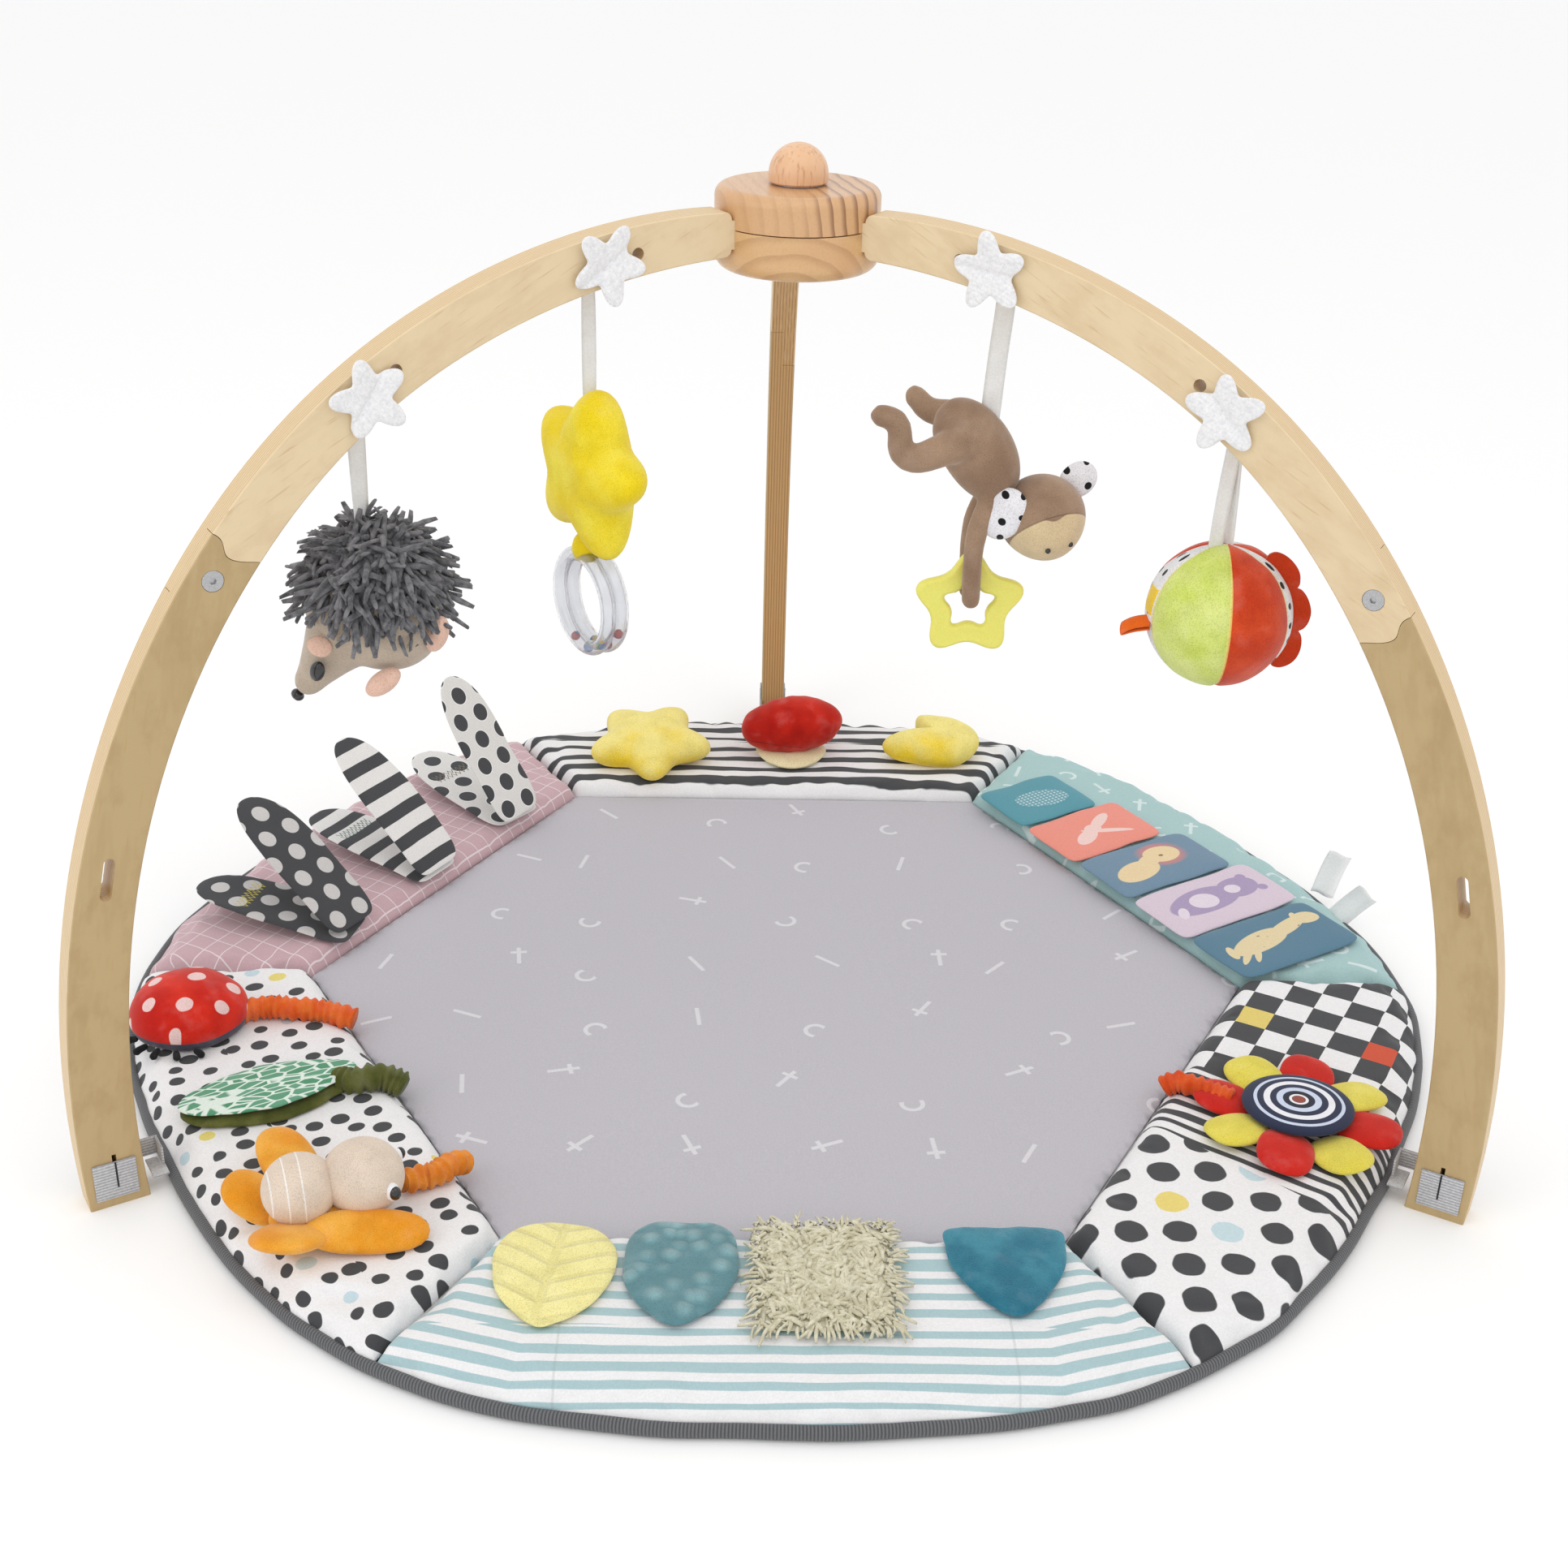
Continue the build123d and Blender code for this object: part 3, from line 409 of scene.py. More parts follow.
field = bmesh.new()
bmesh.ops.create_grid(field, x_segments=110, y_segments=110, size=0.41)
for k in range(6):
    out = Vector((cos(radians(60 * k + 30)), sin(radians(60 * k + 30)), 0))
    bmesh.ops.bisect_plane(field, geom=field.verts[:] + field.edges[:] + field.faces[:],
                           plane_co=out * FIELD_FLAT, plane_no=out, clear_outer=True)
walls = bmesh.ops.extrude_edge_only(field, edges=[e for e in field.edges if e.is_boundary])
low = [v for v in walls["geom"] if isinstance(v, bmesh.types.BMVert)]
for v in field.verts:
    inset = min(FIELD_FLAT - v.co.xy.dot(Vector((cos(radians(60 * k + 30)), sin(radians(60 * k + 30)))))
                for k in range(6))
    puff = sqrt(1 - (1 - min(max(inset, 0) / 0.02, 1)) ** 2)
    slack = noise.noise(v.co * 14) * 0.0007 + noise.noise(Vector((v.co.x * 5, v.co.y * 30, 1))) * 0.0005
    v.co.z = CENTRE_TOP - 0.0022 + 0.0022 * puff + slack * puff
for v in low:
    v.co.z = WADDING_TOP + 0.0002
closed_underneath(field)
centre_cloth = cloth("centre_cotton", centre_print, thread=1900)
piece("mat_centre_field", field, centre_cloth, replaces=("mat_centre",))


# ---- mat: border panels -----------------------------------------------------------------------------
# Six stuffed panels of printed cotton, each with its own print, sewn to the centre field, to the next
# panel and to the binding. The stuffing blows each cover up between its seams.
PANEL_TOP, SEAM_LOW, ROLL = 0.0245, 0.0125, 0.014
PANEL_COLUMNS, PANEL_ROWS = 84, 34


def stuffed(made, pressure, cap, slack=0.0, held=None, frames=20, stiff=15):
    """Fills a sewn cover: cloth under pressure from inside, held where it is sewn, moving at most cap."""
    first = [v.co.copy() for v in made.data.vertices]
    sim = made.modifiers.new("stuffing", "CLOTH")
    sim.settings.quality = 6
    sim.settings.use_pressure = True
    sim.settings.uniform_pressure_force = pressure
    sim.settings.effector_weights.gravity = 0
    sim.settings.shrink_min = -slack
    sim.settings.tension_stiffness = sim.settings.compression_stiffness = stiff
    sim.settings.bending_stiffness = 0.2
    sim.collision_settings.use_collision = False
    if held:
        sewn = made.vertex_groups.new(name="sewn")
        sewn.add([v.index for v in made.data.vertices if held(v.co)], 1, "REPLACE")
        sim.settings.vertex_group_mass = "sewn"
    for number in range(1, frames + 1):
        bpy.context.scene.frame_set(number)
    blown = made.evaluated_get(bpy.context.evaluated_depsgraph_get()).data
    for v, now, before in zip(made.data.vertices, blown.vertices, first):
        move = now.co - before
        v.co = before + move * min(1, cap / max(move.length, 1e-9))
    made.modifiers.remove(sim)
    made.vertex_groups.clear()
    bpy.context.scene.frame_set(1)
    return made


def panel(name, azimuth, finish):
    cover = bmesh.new()
    bmesh.ops.create_grid(cover, x_segments=PANEL_ROWS, y_segments=PANEL_COLUMNS, size=0.5)
    for v in cover.verts:
        out, side = v.co.x + 0.5, v.co.y + 0.5
        out = 1 - (1 - out) ** 1.35
        angle = radians((2 * side - 1) * 29.93)
        inner = Vector((FIELD_FLAT + 0.0004, (2 * side - 1) * (FIELD_HALF - 0.0006)))
        reach = rim(angle + radians(azimuth))
        outer = Vector((cos(angle), sin(angle))) * reach
        spot = inner.lerp(outer, out)
        from_inner = (outer - inner).length * out
        from_outer = (outer - inner).length * (1 - out)
        from_side = min(side, 1 - side) * 2 * spot.x * tan(radians(30))
        rise = 1
        for far in (from_inner, from_side):
            rise *= sqrt(1 - (1 - min(far / ROLL, 1)) ** 2)
        fall = sqrt(1 - (1 - min(from_outer / 0.018, 1)) ** 2)
        height = SEAM_LOW + (PANEL_TOP - SEAM_LOW) * rise
        v.co = Vector((spot.x, spot.y, 0.0088 + (height - 0.0088) * fall))
        v.co.z += 0.0006 * noise.noise(Vector((spot.x * 40, spot.y * 40, azimuth))) * min(rise, fall)
    rim_edges = [e for e in cover.edges if e.is_boundary]
    walls = bmesh.ops.extrude_edge_only(cover, edges=rim_edges)
    for v in walls["geom"]:
        if isinstance(v, bmesh.types.BMVert):
            v.co.z = BACKING + 0.0006 if v.co.xy.length < 0.51 else 0.007
    closed_underneath(cover)
    bmesh.ops.rotate(cover, verts=cover.verts, cent=(0, 0, 0), matrix=Matrix.Rotation(radians(azimuth), 3, "Z"))
    made = piece(name, cover, finish,
                 replaces=(f"panel_{name.split('panel_')[1].replace('_cover', '')}",))
    turn = Matrix.Rotation(-radians(azimuth), 3, "Z")

    def sewn(co):
        spot = turn @ co
        return (co.z < SEAM_LOW + 0.0015 or spot.x < FIELD_FLAT + 0.002
                or abs(spot.y) > spot.x * tan(radians(30)) - 0.002)

    stuffed(made, pressure=1.2, cap=0.0035, slack=0.035, held=sewn)
    softened(made)


def hashed(number):
    """A number from 0 to 1 that jumps about from one whole number to the next."""
    return ((number * 12.9898).math("SINE") * 4375.85).wrapped()


CHARCOAL, COTTON, PALE_BLUE = srgb(66, 67, 70), srgb(238, 237, 238), srgb(166, 196, 201)


def bands(weave, across, along, period, share, vary, ripple=0.004):
    """Hand-painted stripes stacked along across, of uneven thickness and with wandering edges."""
    wander = (weave.noise(9, weave.joined(along, across * 3, 0), detail=2) - 0.5) * ripple * 2
    place = (across + wander) / period
    thick = hashed(place.math("FLOOR")) * vary + share
    edge = thick * 0.5 - abs(place.wrapped() - 0.5)
    return edge.ramp(-0.03, 0.03)


def spots(weave, vector, apart, size, spread, vary):
    """Printed dots that differ a little in size and outline: their cover, and three random numbers."""
    wobble = (weave.noise(70, vector, detail=1) - 0.5) * 0.12
    far, colour, _ = weave.cells(1 / apart, vector, spread=spread, flat=True)
    chance = pick(weave, colour)
    return (far + wobble - chance[0] * vary).ramp(size + 0.015, size - 0.015), chance


def tinted(weave, chance, colours):
    """Charcoal, but for the few dots whose random number lies in one of the ranges."""
    paint = CHARCOAL
    for low, high, colour in colours:
        paint = weave.mix((chance > low) * (chance < high), paint, colour)
    return paint


def turned(weave, azimuth):
    out, along, z = weave.parts(weave.about(turn=(0, 0, azimuth)))
    return out + (z * -0.9 + 0.9 * PANEL_TOP) * (out > 0.45), along


def blue_stripes(weave):
    out, along = turned(weave, -90)
    mitre = out * cos(radians(17)) + abs(along) * sin(radians(17)) - 0.047 + 0.0165
    across = out.math("MAXIMUM", mitre)
    seam = abs(abs(along) - 0.150).ramp(0.0012, 0.0005) * 0.25
    paint = weave.mix(bands(weave, across, along, 0.0165, 0.20, 0.52, 0.0034) * 0.95, COTTON, PALE_BLUE)
    return weave.mix(seam, paint, srgb(150, 160, 165))


def spots_bands_checks(weave):
    out, along = turned(weave, -30)
    x, y, _ = weave.parts()
    dots, chance = spots(weave, weave.joined(x, y, 0), 0.035, 0.325, 0.05, 0.02)
    front = weave.mix(dots, COTTON, tinted(weave, chance[1],
                                           ((0.0, 0.05, srgb(232, 212, 120)), (0.5, 0.54, srgb(226, 96, 48)),
                                                             (0.93, 1.01, srgb(196, 218, 224)))))
    stripe = weave.mix(bands(weave, along + out * 0.12, out, 0.0135, 0.42, 0.22, 0.004), COTTON, CHARCOAL)
    column, row = ((out - 0.340) / 0.0255).math("FLOOR"), ((along - 0.045) / 0.0265).math("FLOOR")
    odd = ((column + row) / 2).wrapped() > 0.25
    third_row = abs(row - 3) < 0.5
    light = weave.mix((abs(column - 1) < 0.5) * third_row, COTTON, srgb(226, 204, 112))
    check = weave.mix(odd, weave.mix((abs(column - 5) < 0.5) * third_row, light, srgb(208, 80, 48)), CHARCOAL)
    rear = weave.mix((along > 0.045), stripe, check)
    return weave.mix((along + out * 0.236 - 0.036 > 0), front, rear)


def teal_doodles(weave):
    x, y, z = weave.parts()
    return weave.mix(strokes(weave, weave.joined(x + 0.013, y, 0), 0.042, 0.0130) * 0.75, srgb(168, 200, 200),
                     srgb(224, 236, 236))


def dark_stripes(weave):
    out, along = turned(weave, 90)
    return weave.mix(bands(weave, out + 0.0085, along, 0.0225, 0.36, 0.24, 0.012), COTTON, CHARCOAL)


def pink_grid(weave):
    out, along = turned(weave, 150)
    bend = (weave.noise(6) - 0.5) * 0.008
    lines = None
    for number in (out + bend, along + bend):
        line = abs(((number / 0.0172).wrapped() - 0.5)).ramp(0.035, 0.02)
        lines = line if lines is None else lines.math("MAXIMUM", line)
    return weave.mix(lines * 0.85, srgb(204, 172, 178), srgb(238, 226, 229))


def dark_spots(weave):
    out, along = turned(weave, 210)
    dots, chance = spots(weave, weave.joined(out * 0.90, along * 1.04, 0), 0.0220, 0.235, 0.50, 0.07)
    return weave.mix(dots, COTTON, tinted(weave, chance[1],
                                          ((0.0, 0.035, srgb(230, 214, 120)), (0.5, 0.53, srgb(196, 216, 224)),
                                                            (0.8, 0.815, srgb(86, 140, 112)))))


for side, azimuth, paint, slot in (("front", -90, blue_stripes, "stripe_blue_cloth"),
                                   ("front_right", -30, spots_bands_checks, "checker_cloth"),
                                   ("rear_right", 30, teal_doodles, "aqua_cloth"),
                                   ("rear", 90, dark_stripes, "stripe_grey_cloth"),
                                   ("rear_left", 150, pink_grid, "pink_cloth"),
                                   ("front_left", 210, dark_spots, "dotted_cloth")):
    panel(f"panel_{side}_cover", azimuth, cloth(f"{side}_cotton", paint))


# ---- straps and care labels ---------------------------------------------------------------------------
# Grey webbing ties the mat to each foot: it threads a slot in the leg and closes with hook-and-loop on
# both faces. Two white woven labels stand up out of the binding on the right.
PATCH, PATCH_R, PATCH_Z = 0.031, 0.567, 0.023


def slab(shape, centre, size, matrix, edge=0.0006):
    """A box with rounded edges, added to shape."""
    made = bmesh.ops.create_cube(shape, size=1)["verts"]
    bmesh.ops.scale(shape, vec=size, verts=made)
    bmesh.ops.translate(shape, vec=centre, verts=made)
    edges = list({e for v in made for e in v.link_edges})
    rounded = bmesh.ops.bevel(shape, geom=edges, offset=edge, offset_type="OFFSET", segments=2, profile=0.5,
                              affect="EDGES", material=-1)
    bmesh.ops.transform(shape, matrix=matrix, verts=list({v for f in rounded["faces"] for v in f.verts} | {
        v for v in made if v.is_valid}))


def hooks(weave):
    _, _, z = weave.parts()
    rib = (z * 2600).math("SINE") * 0.5 + 0.5
    fuzz = weave.noise(520, detail=3)
    return weave.mix((rib * 0.5 + fuzz * 0.7).ramp(0.35, 0.9), srgb(166, 166, 170), srgb(212, 212, 214))


webbing = cloth("grey_webbing", hooks, depth=0.0006, rough=0.9)
slit_black = cloth("slot_shadow", lambda weave: weave.mix(weave.noise(400), srgb(24, 24, 26), srgb(44, 44, 46)))
straps, slits = bmesh.new(), bmesh.new()
for azimuth, seen in ((-150, 1), (-30, -1), (90, 0)):
    turn = Matrix.Rotation(radians(azimuth), 4, "Z")
    for side in (1, -1):
        slab(straps, (PATCH_R, side * (PLY / 2 + 0.0009), PATCH_Z), (PATCH, 0.0016, PATCH), turn)
        if side != seen:
            slab(straps, (0.5425, side * (PLY / 2 + 0.0007), PATCH_Z + 0.002), (0.026, 0.0012, 0.016), turn)
        slab(slits, (PATCH_R - 0.001, side * (PLY / 2 + 0.0018), PATCH_Z + 0.0045), (0.0013, 0.0004, 0.022),
             turn, 0.0001)
    slab(straps, (0.5305, -seen * 0.004, PATCH_Z + 0.002),
         (0.0016, PLY + (0.003 if not seen else -0.006), 0.016), turn)
    slab(straps, (0.5345, 0, 0.014), (0.012, 0.024, 0.0016), turn)
piece("leg_strap_webbing", straps, webbing, replaces=("leg_straps",))
piece("leg_strap_slits", slits, slit_black)


def label_print(weave):
    """Rows of plain grey bars of uneven length stand for the washing instructions."""
    across, up, _ = weave.parts(weave.node("ShaderNodeUVMap"))
    row = (up * 15).math("FLOOR")
    word = hashed((across * 7).math("FLOOR") + row * 5)
    bar = abs((up * 15).wrapped() - 0.5).ramp(0.26, 0.18) * abs(across - 0.5).ramp(0.40, 0.38)
    return weave.mix(bar * (word > 0.22) * up.ramp(0.96, 0.94) * 0.85, srgb(250, 250, 250), srgb(112, 112, 116))


LABEL_WIDTH = 0.0215
label_satin = cloth("label_satin", label_print, depth=0.00003, rough=0.6)
labels = bmesh.new()
for x, y, z, turn, lean, height in ((0.5135, 0.166, 0.013, -12, 14, 0.046),
                                    (0.5145, 0.122, 0.011, -28, 36, 0.044)):
    sheet = bmesh.ops.create_grid(labels, x_segments=8, y_segments=12, size=0.5, calc_uvs=True)["verts"]
    for v in sheet:
        up = v.co.y + 0.5
        bow = 0.004 * sin(pi * up) + 0.002 * sin(2 * pi * (v.co.x + 0.5))
        v.co = Vector((v.co.x * LABEL_WIDTH, bow, up * height))
    place = Matrix.Translation((x, y, z)) @ Matrix.Rotation(radians(turn), 4,
                                                            "Z") @ Matrix.Rotation(radians(lean), 4, "Y")
    bmesh.ops.transform(labels, matrix=place, verts=sheet)


def thickened(made, thickness, offset=-1):
    """Gives a sheet its thickness, inwards or to both sides."""
    solid = made.modifiers.new("thickness", "SOLIDIFY")
    solid.thickness, solid.offset = thickness, offset
    return made


care = piece("care_label_sheets", labels, label_satin, replaces=("care_labels",))
thickened(care, 0.0004)


# ---- hanging toys: felt toggles and ribbons -----------------------------------------------------------
# Each toy hangs on a satin ribbon that passes through a hole in the leg and is sewn to a five-lobed
# star of white felt in front of it. A crease across the star shows where the ribbon pulls.
HANG_OUTER, HANG_INNER = (0.336, 0.5745), (0.160, 0.6455)
HANG_BEHIND = PLY / 2 + 0.004


def cushion(shape, outline, height, around=60, rings=9, fullness=2.2, matrix=Matrix()):
    """A closed round form pushed out to an outline: radius at an angle, and height at the middle."""
    turns = [pi * k / (2 * rings) for k in range(2 * rings + 1)]
    spine = [shape.verts.new((sin(t), 0, (1 if t < pi / 2 else -1) * (1 - sin(t) ** fullness) ** 0.5
                              if abs(t - pi / 2) > 1e-6 else 0))
             for t in turns]
    edges = [shape.edges.new(pair) for pair in zip(spine, spine[1:])]
    before = set(shape.verts) - set(spine)
    bmesh.ops.spin(shape, geom=spine + edges, axis=(0, 0, 1), cent=(0, 0, 0), steps=around, angle=2 * pi,
                   use_merge=True)
    made = [v for v in shape.verts if v not in before]
    bmesh.ops.remove_doubles(shape, verts=made, dist=1e-5)
    made = [v for v in shape.verts if v not in before]
    for v in made:
        angle, share = atan2(v.co.y, v.co.x), v.co.xy.length
        v.co = Vector((cos(angle), sin(angle), 0)) * outline(angle) * share + Vector((0, 0, v.co.z * height))
    bmesh.ops.transform(shape, matrix=matrix, verts=made)
    return made


def hump(gap):
    """1 at nought, and falling off smoothly on both sides of it."""
    return 2.718 ** -(gap ** 2)


def facing(origin, along, normal):
    """A frame whose x runs along and whose z is the normal."""
    along, normal = Vector(along).normalized(), Vector(normal).normalized()
    return Matrix.Translation(origin) @ Matrix((along, normal.cross(along), normal)).transposed().to_4x4()


def felt_paint(weave):
    return weave.mix(weave.noise(380, detail=4).ramp(0.35, 0.75), srgb(244, 243, 244), srgb(228, 228, 231))


felt = cloth("white_felt", felt_paint, thread=900, depth=0.0005, rough=0.95)
satin = cloth("white_satin", lambda weave: weave.mix(weave.noise(90), srgb(226, 225, 222), srgb(240, 240, 240)),
              thread=4000, depth=0.00004, rough=0.5)


def path_points(points, count):
    """count points spread evenly over a smooth line through the given ones."""
    line = bpy.data.curves.new("line", "CURVE")
    line.dimensions, line.resolution_u = "3D", 12
    spline = line.splines.new("NURBS")
    spline.points.add(len(points) - 1)
    for point, place in zip(spline.points, points):
        point.co = (*place, 1)
    spline.order_u, spline.use_endpoint_u = 3, True
    holder = bpy.data.objects.new("line", line)
    verts = [v.co.copy() for v in bpy.data.meshes.new_from_object(holder).vertices]
    bpy.data.objects.remove(holder)
    lengths = [0]
    for a, b in zip(verts, verts[1:]):
        lengths.append(lengths[-1] + (b - a).length)
    found, k = [], 0
    for number in range(count):
        want = lengths[-1] * number / (count - 1)
        while k < len(lengths) - 2 and lengths[k + 1] < want:
            k += 1
        found.append(verts[k].lerp(verts[k + 1], (want - lengths[k]) / max(lengths[k + 1] - lengths[k], 1e-9)))
    return found


def strip(shape, points, widths, across, count=48):
    """A flat band along points; across gives the direction of its width at a share of its length."""
    path = path_points(points, count)
    grid = bmesh.ops.create_grid(shape, x_segments=4, y_segments=count - 1, size=0.5)["verts"]
    for v in grid:
        share = v.co.y + 0.5
        k = round(share * (count - 1))
        cup = 0.0008 * (1 - 4 * v.co.x ** 2)
        side = Vector(across(share)).normalized()
        ahead = (path[min(k + 1, count - 1)] - path[max(k - 1, 0)]).normalized()
        v.co = path[k] + side * v.co.x * widths(share) + side.cross(ahead) * cup
    return grid


def hanger(name, azimuth, side, hole, lobes, crease, strands):
    """A toggle in front of the leg and its ribbon; strands are (low point, width, twist) of each fall."""
    a = radians(azimuth)
    out, front = Vector((cos(a), sin(a), 0)), Vector((-sin(a), cos(a), 0)) * side
    spot = out * hole[0] + Vector((0, 0, hole[1]))
    right = out if out.x > 0 else -out
    star = bmesh.new()
    made = cushion(star, lambda t: 0.0222 + 0.0062 * cos(5 * (t - radians(lobes)))
                   + 0.0008 * sin(3 * t + lobes),
                   0.0021, around=80, rings=12, fullness=6)
    fold = Vector((-sin(radians(crease)), cos(radians(crease))))
    for v in made:
        far = v.co.xy.dot(fold)
        v.co.z += abs(far) * 0.14 - 0.0016 * hump(far / 0.0018) + 0.0010 * noise.noise(v.co * 90
                                                                                       + Vector((lobes, 0, 0)))
    bmesh.ops.transform(star, matrix=facing(spot + front * (PLY / 2 + 0.0038), right, front), verts=star.verts)
    toggle = softened(piece(f"{name}_toggle", star, felt, body=BODY[name],
                            replaces=(f"{name}_hanger",)))
    ribbons = bmesh.new()
    long = 0
    for low, width, twist in strands:
        bottom = Vector(low)
        behind = -front * HANG_BEHIND
        route = [spot + front * (PLY / 2 + 0.002), spot - front * (PLY / 2 + 0.001),
                 spot - front * (HANG_BEHIND + 0.001) - Vector((0, 0, 0.004)),
                 spot + behind - Vector((0, 0, 0.03)), (spot + behind).lerp(bottom, 0.6), bottom]
        long += sum((b - a).length for a, b in zip(route, route[1:]))

        def across(share, twist=twist):
            return Matrix.Rotation(radians(twist * min(max(share * 1.6 - 0.5, 0), 1)), 3, "Z") @ right
        strip(ribbons, route, lambda share,
              width=width: width * (0.5 + 0.5 * min(max((share - 0.17) / 0.15, 0), 1)), across)
    ribbon = piece(f"{name}_ribbon", ribbons, satin, body=BODY[name])
    thickened(ribbon, 0.0006, 0)


BODY = {"hedgehog": "hedgehog", "star": "star_rattle", "monkey": "monkey", "ball": "ball"}
hanger("hedgehog", -150, 1, HANG_OUTER, 105, 55, [((-0.299, -0.154, 0.474), 0.0135, 25)])
hanger("star", -150, 1, HANG_INNER, 62, 36, [((-0.1475, -0.066, 0.520), 0.0102, -62)])
hanger("monkey", -30, -1, HANG_INNER, 98, -6, [((0.1405, -0.066, 0.530), 0.0145, 8)])
hanger("ball", -30, -1, HANG_OUTER, 94, -45,
       [((0.293, -0.157, 0.468), 0.0105, 38), ((0.303, -0.152, 0.468), 0.0115, -35)])


# ---- hedgehog --------------------------------------------------------------------------------------------
# Short taupe plush over a stuffed body with a pointed snout; pink-peach ear and feet, a shiny black
# eye, and a coat of dark chenille noodles sewn all over its back.
def fused(made, voxel, smooth=2):
    """One closed skin round all the forms of a piece, with the creases between them softened."""
    skin = made.modifiers.new("skin", "REMESH")
    skin.mode, skin.voxel_size, skin.use_smooth_shade = "VOXEL", voxel, True
    joined = bpy.data.meshes.new_from_object(made.evaluated_get(bpy.context.evaluated_depsgraph_get()))
    made.modifiers.remove(skin)
    shape = bmesh.new()
    shape.from_mesh(joined)
    for _ in range(smooth):
        bmesh.ops.smooth_vert(shape, verts=shape.verts, factor=0.6, use_axis_x=True, use_axis_y=True,
                              use_axis_z=True)
    shape.to_mesh(made.data)
    shape.free()
    made.data.shade_smooth()
    return made


def blob(shape, centre, radii, turn=(0, 0, 0), bumps=(), detail=4):
    """A stuffed form: an ellipsoid with swellings (direction, height, spread in degrees)."""
    made = bmesh.ops.create_icosphere(shape, subdivisions=detail, radius=1)["verts"]
    tilt = Matrix.Rotation(radians(turn[2]), 3, "Z") @ Matrix.Rotation(radians(turn[1]), 3,
                                                                       "Y") @ Matrix.Rotation(radians(turn[0]),
                                                                                              3, "X")
    for v in made:
        way = v.co.normalized()
        world = tilt @ Vector((way.x * radii[0], way.y * radii[1], way.z * radii[2]))
        for direction, height, spread in bumps:
            gap = world.angle(Vector(direction))
            world += world.normalized() * height * hump(gap / radians(spread))
        v.co = Vector(centre) + world
    return made


def limb(shape, points, radii, count=22, around=14):
    """A stuffed tube with rounded ends along points; radii are spread evenly along it."""
    path = path_points(points, count)
    loops = []
    for k, place in enumerate(path):
        ahead = (path[min(k + 1, count - 1)] - path[max(k - 1, 0)]).normalized()
        share = k / (count - 1) * (len(radii) - 1)
        low = min(int(share), len(radii) - 2)
        thick = radii[low] + (radii[low + 1] - radii[low]) * (share - low)
        near_end = min((place - path[0]).length, (place - path[-1]).length) / thick
        thick *= sqrt(max(1 - (1 - min(near_end, 1)) ** 2, 0.02))
        ring = bmesh.ops.create_circle(shape, segments=around, radius=thick, cap_ends=k in (0, count - 1),
                                       matrix=Matrix.Translation(place)
                                       @ ahead.to_track_quat("Z", "X").to_matrix().to_4x4())["verts"]
        loops.append([e for e in {e for v in ring for e in v.link_edges}])
    for first, second in zip(loops, loops[1:]):
        bmesh.ops.bridge_loops(shape, edges=first + second)


def plush(name, paint, pile=900, depth=0.0005, rough=0.95, sheen=0.45, tint=(1, 1, 1, 1), relief=None,
          rise=0.002):
    """Short-pile fabric: brushed patches painted lighter as sheen, the hollows between the hairs and between the
    patches painted darker as shade, and fine fur as bump.
    """
    fur = Finish(name, Sheen_Weight=sheen, Sheen_Roughness=0.45, Sheen_Tint=tint, Specular_IOR_Level=0.15)
    hairs = fur.noise(pile, detail=3, rough=0.7)
    brushed = fur.noise(55, detail=3)
    base = paint(fur) if callable(paint) else paint
    # Painted shade: the colour darkens towards near-black where the hairs and brushed patches are low in the bump.
    shade = fur.mix(hairs.ramp(0.55, 0.3) * 0.28 + brushed.ramp(0.6, 0.3) * 0.08, base, (0.01, 0.008, 0.006, 1))
    quilting = fur.bump(relief(fur), rise) if relief else None
    # Painted sheen: the high brushed patches are mixed a little towards white.
    fur.set(Base_Color=fur.mix(brushed.ramp(0.5, 0.8) * 0.05, shade, (1, 1, 1, 1)),
            Roughness=hairs * 0.08 + rough - 0.05,
            Normal=fur.bump(hairs * 0.7 + brushed * 0.6, depth, quilting))
    return fur


def mottled(first, second, per_metre):
    """A paint that drifts between two colours, as brushed pile does."""
    return lambda fur: fur.mix(fur.noise(per_metre, detail=3).ramp(0.35, 0.7), first, second)


HEDGEHOG = Vector((-0.296, -0.152, 0.418))


def hedgehog_paint(fur):
    """Taupe, a little lighter where the pile is brushed."""
    return fur.mix(fur.noise(30).ramp(0.3, 0.7) * 0.4, srgb(190, 174, 156), srgb(206, 192, 174))


taupe = plush("taupe_plush", hedgehog_paint, pile=1100, depth=0.0003)
peach = plush("peach_plush", srgb(236, 196, 176), pile=1100, depth=0.0003)
animal = bmesh.new()
blob(animal, HEDGEHOG, (0.050, 0.038, 0.044), (0, 30, 0), bumps=(((0.5, 0, -0.75), 0.004, 40),), detail=5)
limb(animal, [HEDGEHOG + Vector(p) * MM for p in ((-2, 0, 0), (-22, 0, -22), (-38, -1, -44), (-48, -2, -58),
                                                  (-56, -2, -68))],
     [0.036, 0.034, 0.027, 0.019, 0.0125, 0.0085], count=30, around=28)
hedgehog_skin = fused(piece("hedgehog_skin", animal, taupe, body="hedgehog",
                            replaces=("hedgehog_body",)), 0.0022, 3)
feet = bmesh.new()
blob(feet, (-0.249, -0.172, 0.404), (0.008, 0.007, 0.015), (10, 20, 0), detail=3)
blob(feet, (-0.287, -0.182, 0.371), (0.015, 0.006, 0.008), (0, -38, 0), detail=3)
blob(feet, (-0.278, -0.126, 0.372), (0.013, 0.008, 0.009), (0, -30, 0), detail=3)
cushion(feet, lambda t: 0.0088 + 0.0012 * cos(t), 0.0022, around=28, rings=5,
        matrix=facing((-0.3300, -0.1835, 0.3985), (0.85, 0.1, -0.5), (-0.30, -0.80, 0.50)))
piece("hedgehog_feet_and_ear", feet, peach, body="hedgehog")

